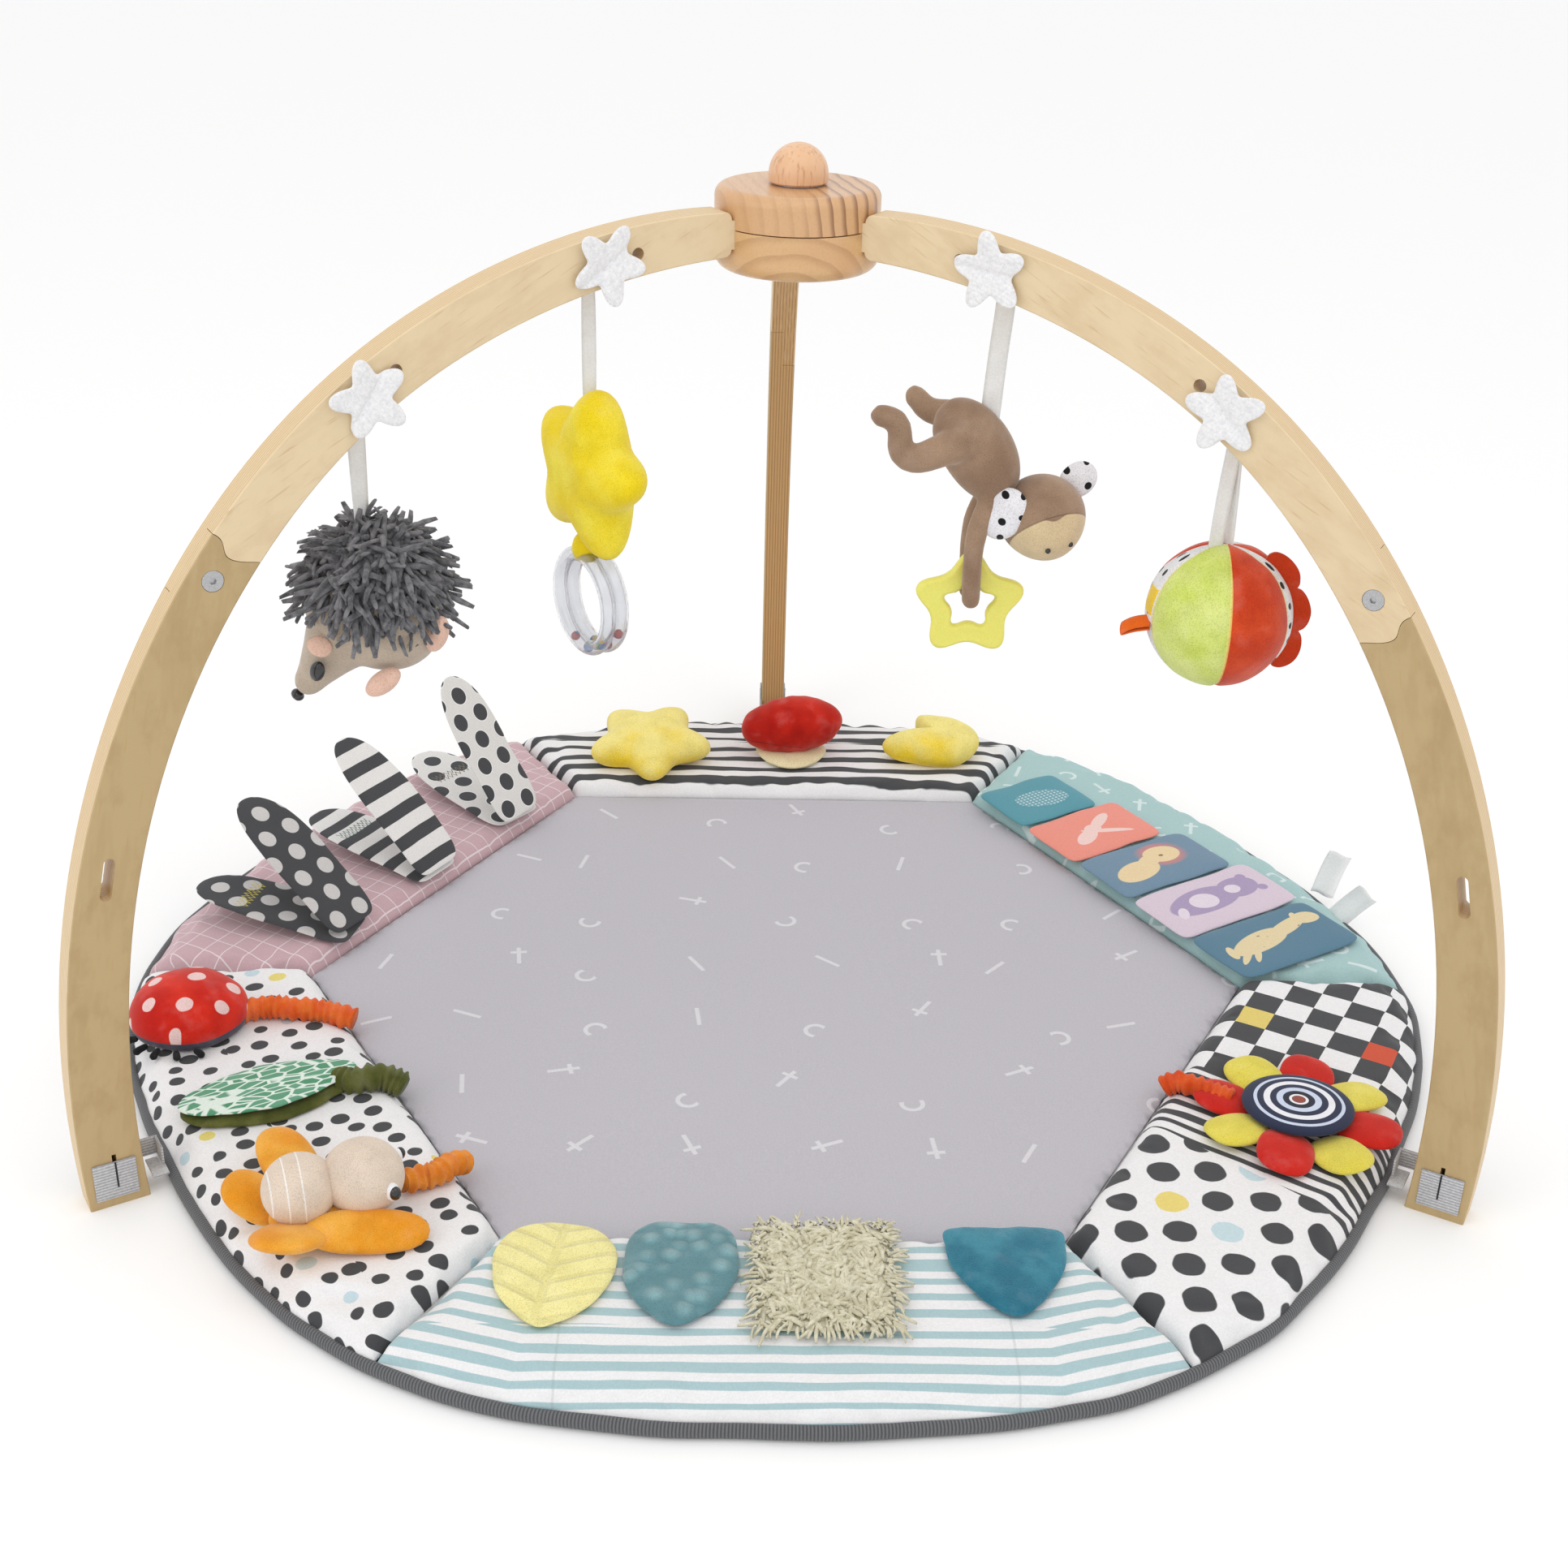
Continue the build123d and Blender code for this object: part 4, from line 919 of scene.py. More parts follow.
shiny = Finish("moulded_black", Coat_Weight=0.6, Coat_Roughness=0.05)
specks = shiny.noise(900)
shiny.set(Base_Color=shiny.mix(specks, srgb(12, 12, 15), srgb(26, 26, 30)), Roughness=specks * 0.1 + 0.08)
eyes = bmesh.new()
blob(eyes, (-0.3335, -0.1775, 0.3765), (0.0058, 0.0036, 0.0082), (0, 25, -22), detail=3)
blob(eyes, (-0.3335, -0.1285, 0.3765), (0.0058, 0.0036, 0.0082), (0, 25, 22), detail=3)
blob(eyes, (-0.3540, -0.1545, 0.3480), (0.0050, 0.0052, 0.0040), (0, 40, 0), detail=3)
piece("hedgehog_eyes_and_nose", eyes, shiny, body="hedgehog")

chenille = plush("dark_chenille", lambda fur: fur.mix(fur.noise(160, detail=4).ramp(0.3, 0.7), srgb(92, 92, 96),
                                                      srgb(144, 143, 147)),
                 pile=1400, depth=0.0009, sheen=0.3)


def strand(length, thick, steps=4, sides=6):
    """One tapering noodle standing on the origin."""
    shape = bmesh.new()
    bmesh.ops.create_circle(shape, segments=sides, radius=thick)
    ring = shape.edges[:]
    for step in range(steps):
        grown = bmesh.ops.extrude_edge_only(shape, edges=ring)["geom"]
        tops = [g for g in grown if isinstance(g, bmesh.types.BMVert)]
        ring = [g for g in grown if isinstance(g, bmesh.types.BMEdge) and all(v in tops for v in g.verts)]
        bmesh.ops.translate(shape, vec=(0, 0, length / steps), verts=tops)
        taper = 1 if step < steps - 1 else 0.72
        bmesh.ops.scale(shape, vec=(taper, taper, 1), verts=tops)
    bmesh.ops.contextual_create(shape, geom=ring)
    mesh = bpy.data.meshes.new("strand")
    shape.to_mesh(mesh)
    shape.free()
    return mesh


def sewn_on(shape, mesh, length, root, way, size, bend):
    """A copy of a strand, pointing its way and bent over towards its end."""
    first = len(shape.verts)
    shape.from_mesh(mesh)
    shape.verts.ensure_lookup_table()
    aim = way.to_track_quat("Z", "X").to_matrix()
    for v in shape.verts[first:]:
        share = v.co.z / length
        v.co = root + aim @ (v.co * size) + bend * (share * share * length * 0.42)
        v.co += Vector((noise.noise(v.co * 190), noise.noise(v.co * 190 + Vector((9, 0, 0))),
                        noise.noise(v.co * 190 + Vector((0, 9, 0))))) * 0.0006


NOODLE = 0.0195
noodle = strand(NOODLE, 0.0024, steps=5)
chance = random.Random(7)
BACK = Vector((-0.294, -0.152, 0.436))
coat = bmesh.new()
blob(coat, BACK, (0.040, 0.038, 0.037), (0, 20, 0), detail=3)
for v in coat.verts:
    v.co.z = max(v.co.z, 0.408 - (v.co.x - BACK.x) * 0.12)
QUILLS, GOLDEN_ANGLE = 960, 2.39996
for k in range(QUILLS):
    height = 1 - 1.42 * (k + 0.5) / QUILLS
    spin = k * GOLDEN_ANGLE
    flat = sqrt(1 - height * height)
    way = Matrix.Rotation(radians(12), 3, "Y") @ Vector((flat * cos(spin), flat * sin(spin), height))
    root = BACK + Vector((way.x * 0.0385, way.y * 0.037, way.z * 0.0375))
    droop = Vector((chance.gauss(0, 0.62), chance.gauss(0, 0.62), chance.gauss(-0.22, 0.55)))
    lie = (way + droop).normalized()
    sewn_on(coat, noodle, NOODLE, root, lie, chance.uniform(0.72, 0.95),
            Vector((chance.gauss(0, 0.9), chance.gauss(0, 0.9), chance.gauss(-0.5, 0.5) - 0.4 * flat)))
piece("hedgehog_quill_coat", coat, chenille, body="hedgehog",
                replaces=("hedgehog_quills",))


# ---- velour star with its rattle ---------------------------------------------------------------------
# A thick five-pointed star of bright yellow velour. Under it a clear ring of two moulded tubes is held
# by a tab of the same velour, with coloured beads loose inside.
STAR = Vector((-0.1466, -0.066, 0.489))


def star_outline(tip, valley, turn=0, sharp=0.12):
    middle, swing = (tip + valley) / 2, (tip - valley) / 2
    return lambda t: middle + swing * (cos(5 * (t - radians(turn)))
                                       + sharp * cos(10 * (t - radians(turn)))) / (1 + sharp)


def creased(shape, seed, depth, scale):
    """Soft dents where the stuffing is uneven."""
    for v in shape.verts:
        v.co += v.normal * depth * noise.noise(v.co * scale + Vector((seed, seed, 0)))


velour = plush("bright_velour", mottled(srgb(244, 216, 28), srgb(250, 232, 74), 28),
               pile=1500, depth=0.00022, sheen=0.35, tint=(1, 0.95, 0.6, 1))
plump = bmesh.new()
cushion(plump, star_outline(0.0655, 0.0445, 90 + 48, 0.06), 0.0215, around=100, rings=20, fullness=3.4,
        matrix=facing(STAR, (cos(radians(-56)), sin(radians(-56)), 0), (cos(radians(34)), sin(radians(34)), 0)))
plump.normal_update()
creased(plump, 3, 0.0014, 30)
star = piece("star_velour", plump, velour, body="star_rattle", replaces=("star_plush",))
stuffed(star, pressure=3, cap=0.005)
tab = bmesh.new()
limb(tab, [STAR + Vector((-0.004, 0.0, -0.045)), STAR + Vector((-0.005, 0, -0.060)),
           STAR + Vector((-0.003, 0, -0.070))], [0.010, 0.012, 0.011])
piece("star_tab", tab, velour, body="star_rattle")

clear = Finish("clear_plastic", Transmission_Weight=0.92, IOR=1.42, Coat_Weight=0.3)
haze = clear.noise(60)
clear.set(Base_Color=clear.mix(haze, srgb(250, 250, 252), srgb(236, 238, 242)),
          Roughness=haze * 0.05 + 0.03).on("rattle_ring")
bead_gloss = Finish("glossy_beads", Coat_Weight=0.4, Coat_Roughness=0.1)
_, colour, _ = bead_gloss.cells(150, spread=0.4)
lot = pick(bead_gloss, colour)[0]
paint = bead_gloss.mix(lot > 0.25, srgb(206, 40, 36), srgb(62, 118, 196))
paint = bead_gloss.mix(lot > 0.5, paint, srgb(240, 206, 60))
paint = bead_gloss.mix(lot > 0.75, paint, srgb(92, 168, 84))
bead_gloss.set(Base_Color=paint, Roughness=bead_gloss.noise(300) * 0.1 + 0.2).on("rattle_beads")


# ---- monkey and its teether ------------------------------------------------------------------------------
# Brown short plush, hung by the small of its back: legs bent up behind, head down, both arms hooked
# through a soft star teether. Beige face, white ears with black dots, two small sewn eyes.
MONKEY = Vector((0.1466, -0.066, 0))
HEAD = MONKEY + Vector((0.037, -0.004, 0.463))
LOOKS = Vector((0.30, -0.62, -0.72)).normalized()


def at(x, y, z):
    """A place on the monkey, in millimetres from its ribbon."""
    return MONKEY + Vector((x, y, z)) * MM


brown = plush("brown_plush", mottled(srgb(148, 120, 98), srgb(172, 143, 118), 24),
              pile=1300, depth=0.00028, sheen=0.5, tint=(1, 0.92, 0.85, 1))
cuddly = bmesh.new()
blob(cuddly, at(-12, 0, 510), (0.026, 0.024, 0.042), (0, -32, 0), bumps=(((-0.6, 0, 0.35), 0.004, 40),),
     detail=4)
limb(cuddly, [at(-16, -12, 524), at(-38, -20, 518), at(-60, -20, 508), at(-72, -20, 514), at(-71, -20, 530),
              at(-76, -19, 541), at(-94, -18, 541)],
     [0.015, 0.0135, 0.012, 0.011, 0.0095, 0.009, 0.0085, 0.008])
limb(cuddly, [at(-14, 12, 530), at(-34, 18, 532), at(-50, 20, 534), at(-58, 20, 545), at(-66, 20, 548)],
     [0.014, 0.012, 0.010, 0.0085, 0.008])
for side in (-1, 1):
    limb(cuddly, [at(2, side * 8, 482), at(-8, -2 + side * 12, 466), at(-13, -2 + side * 13, 446),
                  at(-13, -2 + side * 12, 416),
                  at(-12, -2 + side * 10.5, 398), at(-12, -2 + side * 7, 392)],
         [0.010, 0.0085, 0.0078, 0.0074, 0.0074, 0.007])
fused(piece("monkey_plush", cuddly, brown, body="monkey",
                      replaces=("monkey_body",)), 0.0020, 3)


def head_paint(fur):
    """The face is a beige patch let into the front of the head."""
    away = fur.node("ShaderNodeVectorMath", {"operation": "SUBTRACT"}, {0: fur.place, 1: tuple(HEAD)})
    ahead = Value(fur, fur.node("ShaderNodeVectorMath", {"operation": "DOT_PRODUCT"},
                                {0: away, 1: tuple(LOOKS)}, output=1))
    x, _, _ = fur.parts(away)
    face = (ahead - abs(x - 0.006).ramp(0.010, 0.0) * 0.003).ramp(0.0118, 0.0126)
    coat_colour = mottled(srgb(148, 120, 98), srgb(170, 141, 116), 24)(fur)
    seam = abs(ahead - 0.0122).ramp(0.0007, 0.0002) * 0.5
    return fur.mix(seam, fur.mix(face, coat_colour, srgb(222, 200, 160)), srgb(96, 74, 58))


skull = bmesh.new()
blob(skull, HEAD, (0.032, 0.029, 0.031), bumps=((tuple(LOOKS), 0.003, 40),), detail=5)
piece("monkey_head_plush", skull,
                plush("monkey_head_plush", head_paint, pile=1300, depth=0.00028, sheen=0.4),
                body="monkey", replaces=("monkey_head",))
sewn_eyes = bmesh.new()
for side in (-1, 1):
    spot = HEAD + (LOOKS * 0.9 + Vector((side * 0.27 + 0.06, -0.12, 0.22))).normalized() * 0.0325
    blob(sewn_eyes, spot, (0.0021, 0.0018, 0.0021), detail=2)
piece("monkey_eyes", sewn_eyes, shiny, body="monkey")


def ear_paint(fur):
    dots, _ = spots(fur, fur.joined(fur.parts()[0], fur.parts()[2], 0), 0.0150, 0.16, 0.45, 0.02)
    return fur.mix(dots, srgb(236, 235, 240), srgb(26, 26, 28))


ear_cloth = plush("ear_plush", ear_paint, pile=900, depth=0.0002, sheen=0.2)
ears = bmesh.new()
cushion(ears, lambda t: 0.0185 + 0.002 * cos(2 * t), 0.0065, around=36, rings=7,
        matrix=facing(HEAD + Vector((-0.030, -0.014, 0.006)), (0.55, -0.10, 0.80), (-0.35, -0.90, 0.25)))
cushion(ears, lambda t: 0.0140 + 0.0012 * cos(2 * t), 0.0050, around=30, rings=6,
        matrix=facing(HEAD + Vector((0.026, 0.010, 0.025)), (0.8, 0.2, 0.5), (0.2, -0.92, 0.25)))
piece("monkey_ears", ears, ear_cloth, body="monkey")

silicone = Finish("yellow_silicone", Subsurface_Weight=0.35, Subsurface_Scale=0.006, Coat_Weight=0.1)
frost = silicone.noise(700, detail=2)
silicone.set(Base_Color=silicone.mix(frost, srgb(226, 222, 88), srgb(240, 236, 130)),
             Roughness=frost * 0.15 + 0.33,
             Normal=silicone.bump(frost, 0.00012))
TEETHER = MONKEY + Vector((-0.012, -0.002, 0.392))
outside, inside = star_outline(0.0425, 0.0290, 90), star_outline(0.0195, 0.0125, 90, 0.2)
bite = bmesh.new()
section = [bite.verts.new((2 + u, 0, w)) for u,
           w in ((-1, -0.6), (-1, 0.6), (-0.72, 1), (-0.45, 0.8), (0.45, 0.8), (0.72, 1), (1, 0.6),
                                                      (1, -0.6), (0.72, -1), (0.45, -0.8), (-0.45, -0.8),
                 (-0.72, -1))]
loop = [bite.edges.new((a, b)) for a, b in zip(section, section[1:] + section[:1])]
bmesh.ops.spin(bite, geom=section + loop, axis=(0, 0, 1), cent=(0, 0, 0), steps=150, angle=2 * pi,
               use_merge=True)
for v in bite.verts:
    angle, share = atan2(v.co.y, v.co.x), (v.co.xy.length - 1) / 2
    v.co = Vector((cos(angle), sin(angle), 0)) * (inside(angle)
                                                  + (outside(angle) - inside(angle))
                                                  * share) + Vector((0, 0, v.co.z * 0.0046))
bmesh.ops.transform(bite, matrix=facing(TEETHER, (1, 0, 0), (0, -1, 0)), verts=bite.verts)
softened(piece("teether_star", bite, silicone, body="monkey", replaces=("teether",)))


# ---- gored ball -------------------------------------------------------------------------------------------
# Plush gores of lime, orange-red and dotted white meet at the top and bottom of a stuffed ball. A
# scalloped orange-red frill is sewn into the right seam and a looped orange tag into the left one.
BALL, BALL_RADIUS = Vector((0.3020, -0.155, 0.4225)), 0.0515
GORES = (-168, -112, -78, -4, 58, 80, 128)     # bearings of the seams from the front, in degrees


def bearing(fur):
    away = fur.node("ShaderNodeVectorMath", {"operation": "SUBTRACT"}, {0: fur.place, 1: tuple(BALL)})
    x, y, z = fur.parts(away)
    return x.math("ARCTAN2", y * -1) * (180 / pi), z


def ball_paint(fur):
    angle, z = bearing(fur)
    dots, _ = spots(fur, fur.joined(angle * 0.0009, z, 0), 0.0135, 0.17, 0.3, 0.02)
    dotted = fur.mix(dots, srgb(232, 232, 234), srgb(30, 30, 32))
    lime = fur.mix(fur.noise(40, detail=3).ramp(0.3, 0.7), srgb(206, 222, 104), srgb(222, 232, 140))
    orange = fur.mix(fur.noise(40, detail=3).ramp(0.3, 0.7), srgb(200, 60, 24), srgb(220, 80, 38))
    patch = (angle < -80) * abs(z - 0.010).ramp(0.010, 0.009) * (angle > -98)
    paint = dotted
    for low, high, cloth_colour in ((-78, -4, lime), (-4, 58, orange), (80, 128, orange), (-168, -112, orange)):
        paint = fur.mix((angle > low) * (angle < high), paint, cloth_colour)
    paint = fur.mix(patch, paint, srgb(244, 206, 50))
    seam = None
    for bearing_of_seam in (-78, -4, 58):
        line = abs(angle - bearing_of_seam).ramp(1.6, 0.7)
        seam = line if seam is None else seam.math("MAXIMUM", line)
    return fur.mix(seam * 0.7, paint, srgb(244, 226, 128))


sphere = bmesh.new()
bmesh.ops.create_uvsphere(sphere, u_segments=180, v_segments=60, radius=BALL_RADIUS)
for v in sphere.verts:
    angle = atan2(v.co.x, -v.co.y) * 180 / pi
    flat = v.co.xy.length / BALL_RADIUS
    gap = min(abs(angle - g) for g in GORES) * flat
    groove = hump(gap / 2.2) * 0.0014 * min(1, flat * 2)
    crown = 0.0009 * noise.noise(v.co * 40)
    v.co *= 1 + (crown - groove) / BALL_RADIUS
bmesh.ops.translate(sphere, vec=BALL, verts=sphere.verts)
piece("ball_gores", sphere, plush("gored_plush", ball_paint, pile=1000, depth=0.00045, sheen=0.3),
                body="ball",
                replaces=("ball_body",))

scarlet = plush("scarlet_plush", srgb(202, 62, 26), pile=1200, depth=0.0003, sheen=0.25)
frill = bmesh.new()
grid = bmesh.ops.create_grid(frill, x_segments=60, y_segments=6, size=0.5)["verts"]
for v in grid:
    share, reach = v.co.x + 0.5, v.co.y + 0.5
    fall = radians(32 + 98 * share)
    stand = 0.004 + 0.0075 * abs(sin(3 * pi * share)) ** 0.5
    away = BALL_RADIUS - 0.002 + (stand + 0.002) * reach
    side = radians(76)
    v.co = BALL + Vector((sin(side) * sin(fall) * away,
                          -cos(side) * sin(fall) * away + 0.0016 * sin(share * 20) * reach, cos(fall) * away))
frilled = softened(piece("ball_frill", frill, scarlet, body="ball",
                         replaces=("ball_trim",)))
thickened(frilled, 0.0026, 0)
tag = bmesh.new()
start = BALL + Vector((-BALL_RADIUS + 0.002, -0.006, -0.006))
strip(tag, [start + Vector((0, 0, 0.002)), start + Vector((-0.010, 0, 0.0015)),
            start + Vector((-0.0205, -0.001, -0.0035)),
            start + Vector((-0.0205, -0.001, -0.0055)), start + Vector((-0.010, 0, -0.002)),
            start + Vector((0, 0, -0.001))],
      lambda share: 0.0125, lambda share: (0.15, 1, 0.4))
tagged = piece("ball_tag", tag, plush("orange_tape", srgb(232, 104, 28), pile=1600, depth=0.0001, sheen=0.1),
               body="ball")
thickened(tagged, 0.0006)


# ---- plush shapes on the rear panel ----------------------------------------------------------------------
# A stuffed star and a stuffed crescent of bright yellow plush that drifts at random towards pale yellow and is
# painted paler towards the top as a highlight, and between them a red pod that sits on a round pale yellow foot.
ON_PANEL = 0.0262


def outlined(*points):
    """A smooth outline through (angle, radius in millimetres) points, given in order round it."""
    def radius(angle):
        turn = angle * 180 / pi % 360
        k = next((n for n, (a, _) in enumerate(points) if a > turn), 0)
        around = [points[(k + n) % len(points)] for n in (-2, -1, 0, 1)]
        start, end = around[1][0], around[2][0]
        share = (turn - start) % 360 / ((end - start) % 360)
        a, b, c, d = (r for _, r in around)
        return (b + 0.5 * share * (c - a
                                   + share * (2 * a - 5 * b + 4 * c - d + share * (3 * (b - c) + d - a)))) * MM
    return radius


def yellow(fur):
    _, _, z = fur.parts()
    # The noise drifts the yellow at random; the z term paints the upper parts paler as a highlight.
    return fur.mix((fur.noise(22, detail=3) + (z - 0.040) * 9).ramp(0.35, 0.75), srgb(250, 216, 50),
                   srgb(246, 230, 140))


yellow_plush = plush("yellow_plush", yellow, pile=1200, depth=0.00028, sheen=0.35, tint=(1, 0.96, 0.7, 1))
starry = bmesh.new()
cushion(starry, star_outline(0.064, 0.043, -90 + 6, 0.05), 0.0190, around=100, rings=18, fullness=3.2,
        matrix=Matrix.Translation((-0.128, 0.410, 0.0460)) @ Matrix.Rotation(radians(8), 4, "X"))
starry.normal_update()
creased(starry, 11, 0.0016, 30)
border_star = piece("border_star", starry, yellow_plush, replaces=("border_plush",))
crescent = bmesh.new()
cushion(crescent, outlined((0, 45), (45, 40), (80, 36), (105, 40), (118, 40), (132, 24), (150, 10), (168, 24),
                           (182, 52), (194, 54),
                           (225, 38), (270, 32), (315, 38)), 0.0180, around=100, rings=18, fullness=3.2,
        matrix=Matrix.Translation((0.168, 0.420, 0.0450)) @ Matrix.Rotation(radians(12), 4, "X"))
crescent.normal_update()
creased(crescent, 17, 0.0014, 30)
piece("border_moon", crescent, yellow_plush)
foot = bmesh.new()
cushion(foot, lambda t: 0.036 + 0.002 * sin(3 * t), 0.006, around=48, rings=6,
        matrix=Matrix.Translation((0.018, 0.418, 0.0325)))
pale_plush = plush("pale_yellow_plush", srgb(236, 222, 178), pile=1000, depth=0.0003)
piece("border_pod_foot", foot, pale_plush)


def pod_paint(fur):
    away = fur.about((0.018, 0.428, 0.058), (0, 8, 0))
    x, y, z = fur.parts(away)
    seam = abs(z + 0.010 + x * x * 3).ramp(0.0010, 0.0003)
    return fur.mix(seam * 0.6, mottled(srgb(176, 22, 12), srgb(206, 40, 24), 30)(fur), srgb(110, 10, 8))


pod = bmesh.new()
blob(pod, (0.018, 0.426, 0.0600), (0.0525, 0.031, 0.0290), (0, -8, 0), detail=5)
for v in pod.verts:
    v.co += v.normal * 0.0012 * noise.noise(Vector((v.co.x * 90, v.co.y * 30, v.co.z * 30)))
piece("border_pod", pod, plush("pod_plush", pod_paint, pile=1500, depth=0.0002, sheen=0.3,
                                         tint=(1, 0.7, 0.6, 1)))


# ---- ladybug on its tether -----------------------------------------------------------------------------
# A red plush dome with pinkish white dots over a slate underside, black cord feet at its front edge,
# joined to the centre field's seam by a gathered orange elastic sleeve.
GATHER = 0.0068        # from one gather to the next


def scrunchie(name, points, radius, finish, body, seed, replaces=()):
    """Elastic in a gathered sleeve: rings of uneven size threaded on a line."""
    count, around = 74, 18
    path = path_points([Vector(p) * MM for p in points], count)
    shape = bmesh.new()
    loops, gone = [], 0
    for k, place in enumerate(path):
        gone += (place - path[k - 1]).length if k else 0
        ahead = (path[min(k + 1, count - 1)] - path[max(k - 1, 0)]).normalized()
        swell = 1 + 0.13 * sin(gone / GATHER * 2 * pi
                               + 1.4 * sin(gone * 160 + seed)) + 0.08 * noise.noise(Vector((gone * 120,
                                                                                            seed, 0)))
        if k < 4 or k > count - 5:
            swell *= 0.92
        ring = bmesh.ops.create_circle(shape, segments=around, radius=radius * swell,
                                       cap_ends=k in (0, count - 1),
                                       matrix=Matrix.Translation(place)
                                       @ ahead.to_track_quat("Y", "Z").to_matrix().to_4x4()
                                       @ Matrix.Rotation(radians(90), 4, "X"))["verts"]
        for v in ring:
            off = v.co - place
            v.co = place + off * (1 + 0.14 * noise.noise(off * 130 + Vector((gone * 90, seed, 0))))
        loops.append(list({e for v in ring for e in v.link_edges}))
    for first, second in zip(loops, loops[1:]):
        bmesh.ops.bridge_loops(shape, edges=first + second)
    return piece(name, shape, finish, body=body, replaces=replaces)


def gathered(name, light, dark):
    return plush(name, lambda fur: fur.mix(fur.noise(70, detail=3).ramp(0.3, 0.7), light, dark), pile=1600,
                 depth=0.00025, sheen=0.2)


def ladybug_paint(fur):
    x, y, z = fur.parts()
    stretch = z * -9 + 1.6
    vector = fur.joined((x + 0.478) * stretch, (y + 0.098) * stretch, 0)
    dots, _ = spots(fur, vector, 0.0300, 0.20, 0.30, 0.03)
    red = mottled(srgb(196, 26, 16), srgb(224, 48, 30), 26)(fur)
    top = fur.mix(dots, red, srgb(240, 206, 204))
    back = ((x + 0.478) * -0.9 + (y + 0.098) * 0.45 - z * 0.30).ramp(0.0275, 0.0280)
    return fur.mix(z.ramp(0.0385, 0.0375).math("MAXIMUM", back), top, srgb(72, 74, 90))


bug = bmesh.new()
blob(bug, (-0.478, -0.098, 0.0400), (0.0465, 0.0455, 0.0300), detail=5)
for v in bug.verts:
    low = v.co.z - ON_PANEL
    v.co.z = ON_PANEL + 0.0006 + (low if low > 0.006 else 0.006 * 2.718 ** (low / 0.006 - 1) if low > -0.02
                                  else 0.0001)
    v.co += v.normal * 0.0010 * noise.noise(v.co * 40)
piece("ladybug_shell", bug, plush("ladybug_plush", ladybug_paint, pile=1400, depth=0.00025, sheen=0.3,
                                            tint=(1, 0.8, 0.75, 1)),
                body="ladybug", replaces=("ladybug",))
cords = bmesh.new()
for x, y, dx, dy in ((-502, -136, -9, -9), (-492, -141, -3, -11), (-478, -144, 3, -9), (-464, -141, 8, -7),
                     (-512, -126, -11, -4)):
    limb(cords, [Vector((x, y, 32)) * MM, Vector((x + dx * 0.7, y + dy * 0.7, 33)) * MM,
                 Vector((x + dx, y + dy, 29.5)) * MM],
         [0.0026, 0.0028, 0.0034], count=12, around=10)
piece("ladybug_feet", cords, plush("black_cord", srgb(30, 30, 33), pile=1800, depth=0.0003,
                                             sheen=0.1), body="ladybug")
bright_orange = gathered("bright_orange_sleeve", srgb(228, 92, 30), srgb(240, 122, 54))
scrunchie("ladybug_tether", [(-347, -91, 30), (-372, -86, 35), (-400, -87, 37), (-424, -85, 38),
                             (-441, -94, 36)], 0.0092,
          bright_orange, "ladybug", 2)


# ---- leaf on its tether -----------------------------------------------------------------------------------
# A pointed leaf: crinkly white-veined green mosaic cloth above, olive plush below, on an olive sleeve.
LEAF = Matrix.Translation((-0.395, -0.197, 0.0)) @ Matrix.Rotation(radians(27), 4, "Z")
lens = outlined((0, 71), (12, 62), (28, 47), (60, 36), (90, 34), (120, 36), (150, 47), (167, 62), (180, 68),
                (193, 62), (210, 47),
                (240, 36), (270, 34), (300, 36), (332, 47), (348, 62))


def mosaic(weave):
    vector = weave.about((-0.395, -0.197, 0), (0, 0, 27))
    x, y, _ = weave.parts(vector)
    flow = weave.joined(x * 0.62, y * 1.5, 0)
    edge, _, _ = weave.cells(96, flow, spread=0.85, feature="DISTANCE_TO_EDGE")
    _, colour, _ = weave.cells(96, flow, spread=0.85)
    lot = pick(weave, colour)[0]
    leafy = weave.mix(lot, srgb(98, 160, 128), srgb(62, 140, 98))
    return weave.mix(edge.ramp(0.10, 0.05), leafy, srgb(226, 238, 228))


top, under_leaf = bmesh.new(), bmesh.new()
cushion(top, lens, 0.0028, around=90, rings=10, fullness=5,
        matrix=LEAF @ Matrix.Translation((0, 0, 0.0372)) @ Matrix.Rotation(radians(-5), 4, "X"))
for v in top.verts:
    v.co.z += 0.0009 * noise.noise(v.co * 55)
softened(piece("leaf_mosaic", top, cloth("leaf_mosaic_cloth", mosaic, depth=0.0001, rough=0.6),
                         body="leaf_toy",
                         replaces=("leaf_toy",)))
cushion(under_leaf, lambda t: lens(t) * 1.01, 0.0052, around=90, rings=10, fullness=3,
        matrix=LEAF @ Matrix.Translation((0.0015, -0.004, 0.0322)) @ Matrix.Rotation(radians(3), 4, "X"))
olive = gathered("olive_sleeve", srgb(78, 84, 36), srgb(104, 108, 54))
piece("leaf_underside", under_leaf, olive, body="leaf_toy")
scrunchie("leaf_tether", [(-292, -185, 30), (-306, -180, 36), (-320, -184, 37), (-334, -187, 35),
                          (-344, -181, 33)], 0.0100,
          olive, "leaf_toy", 5)


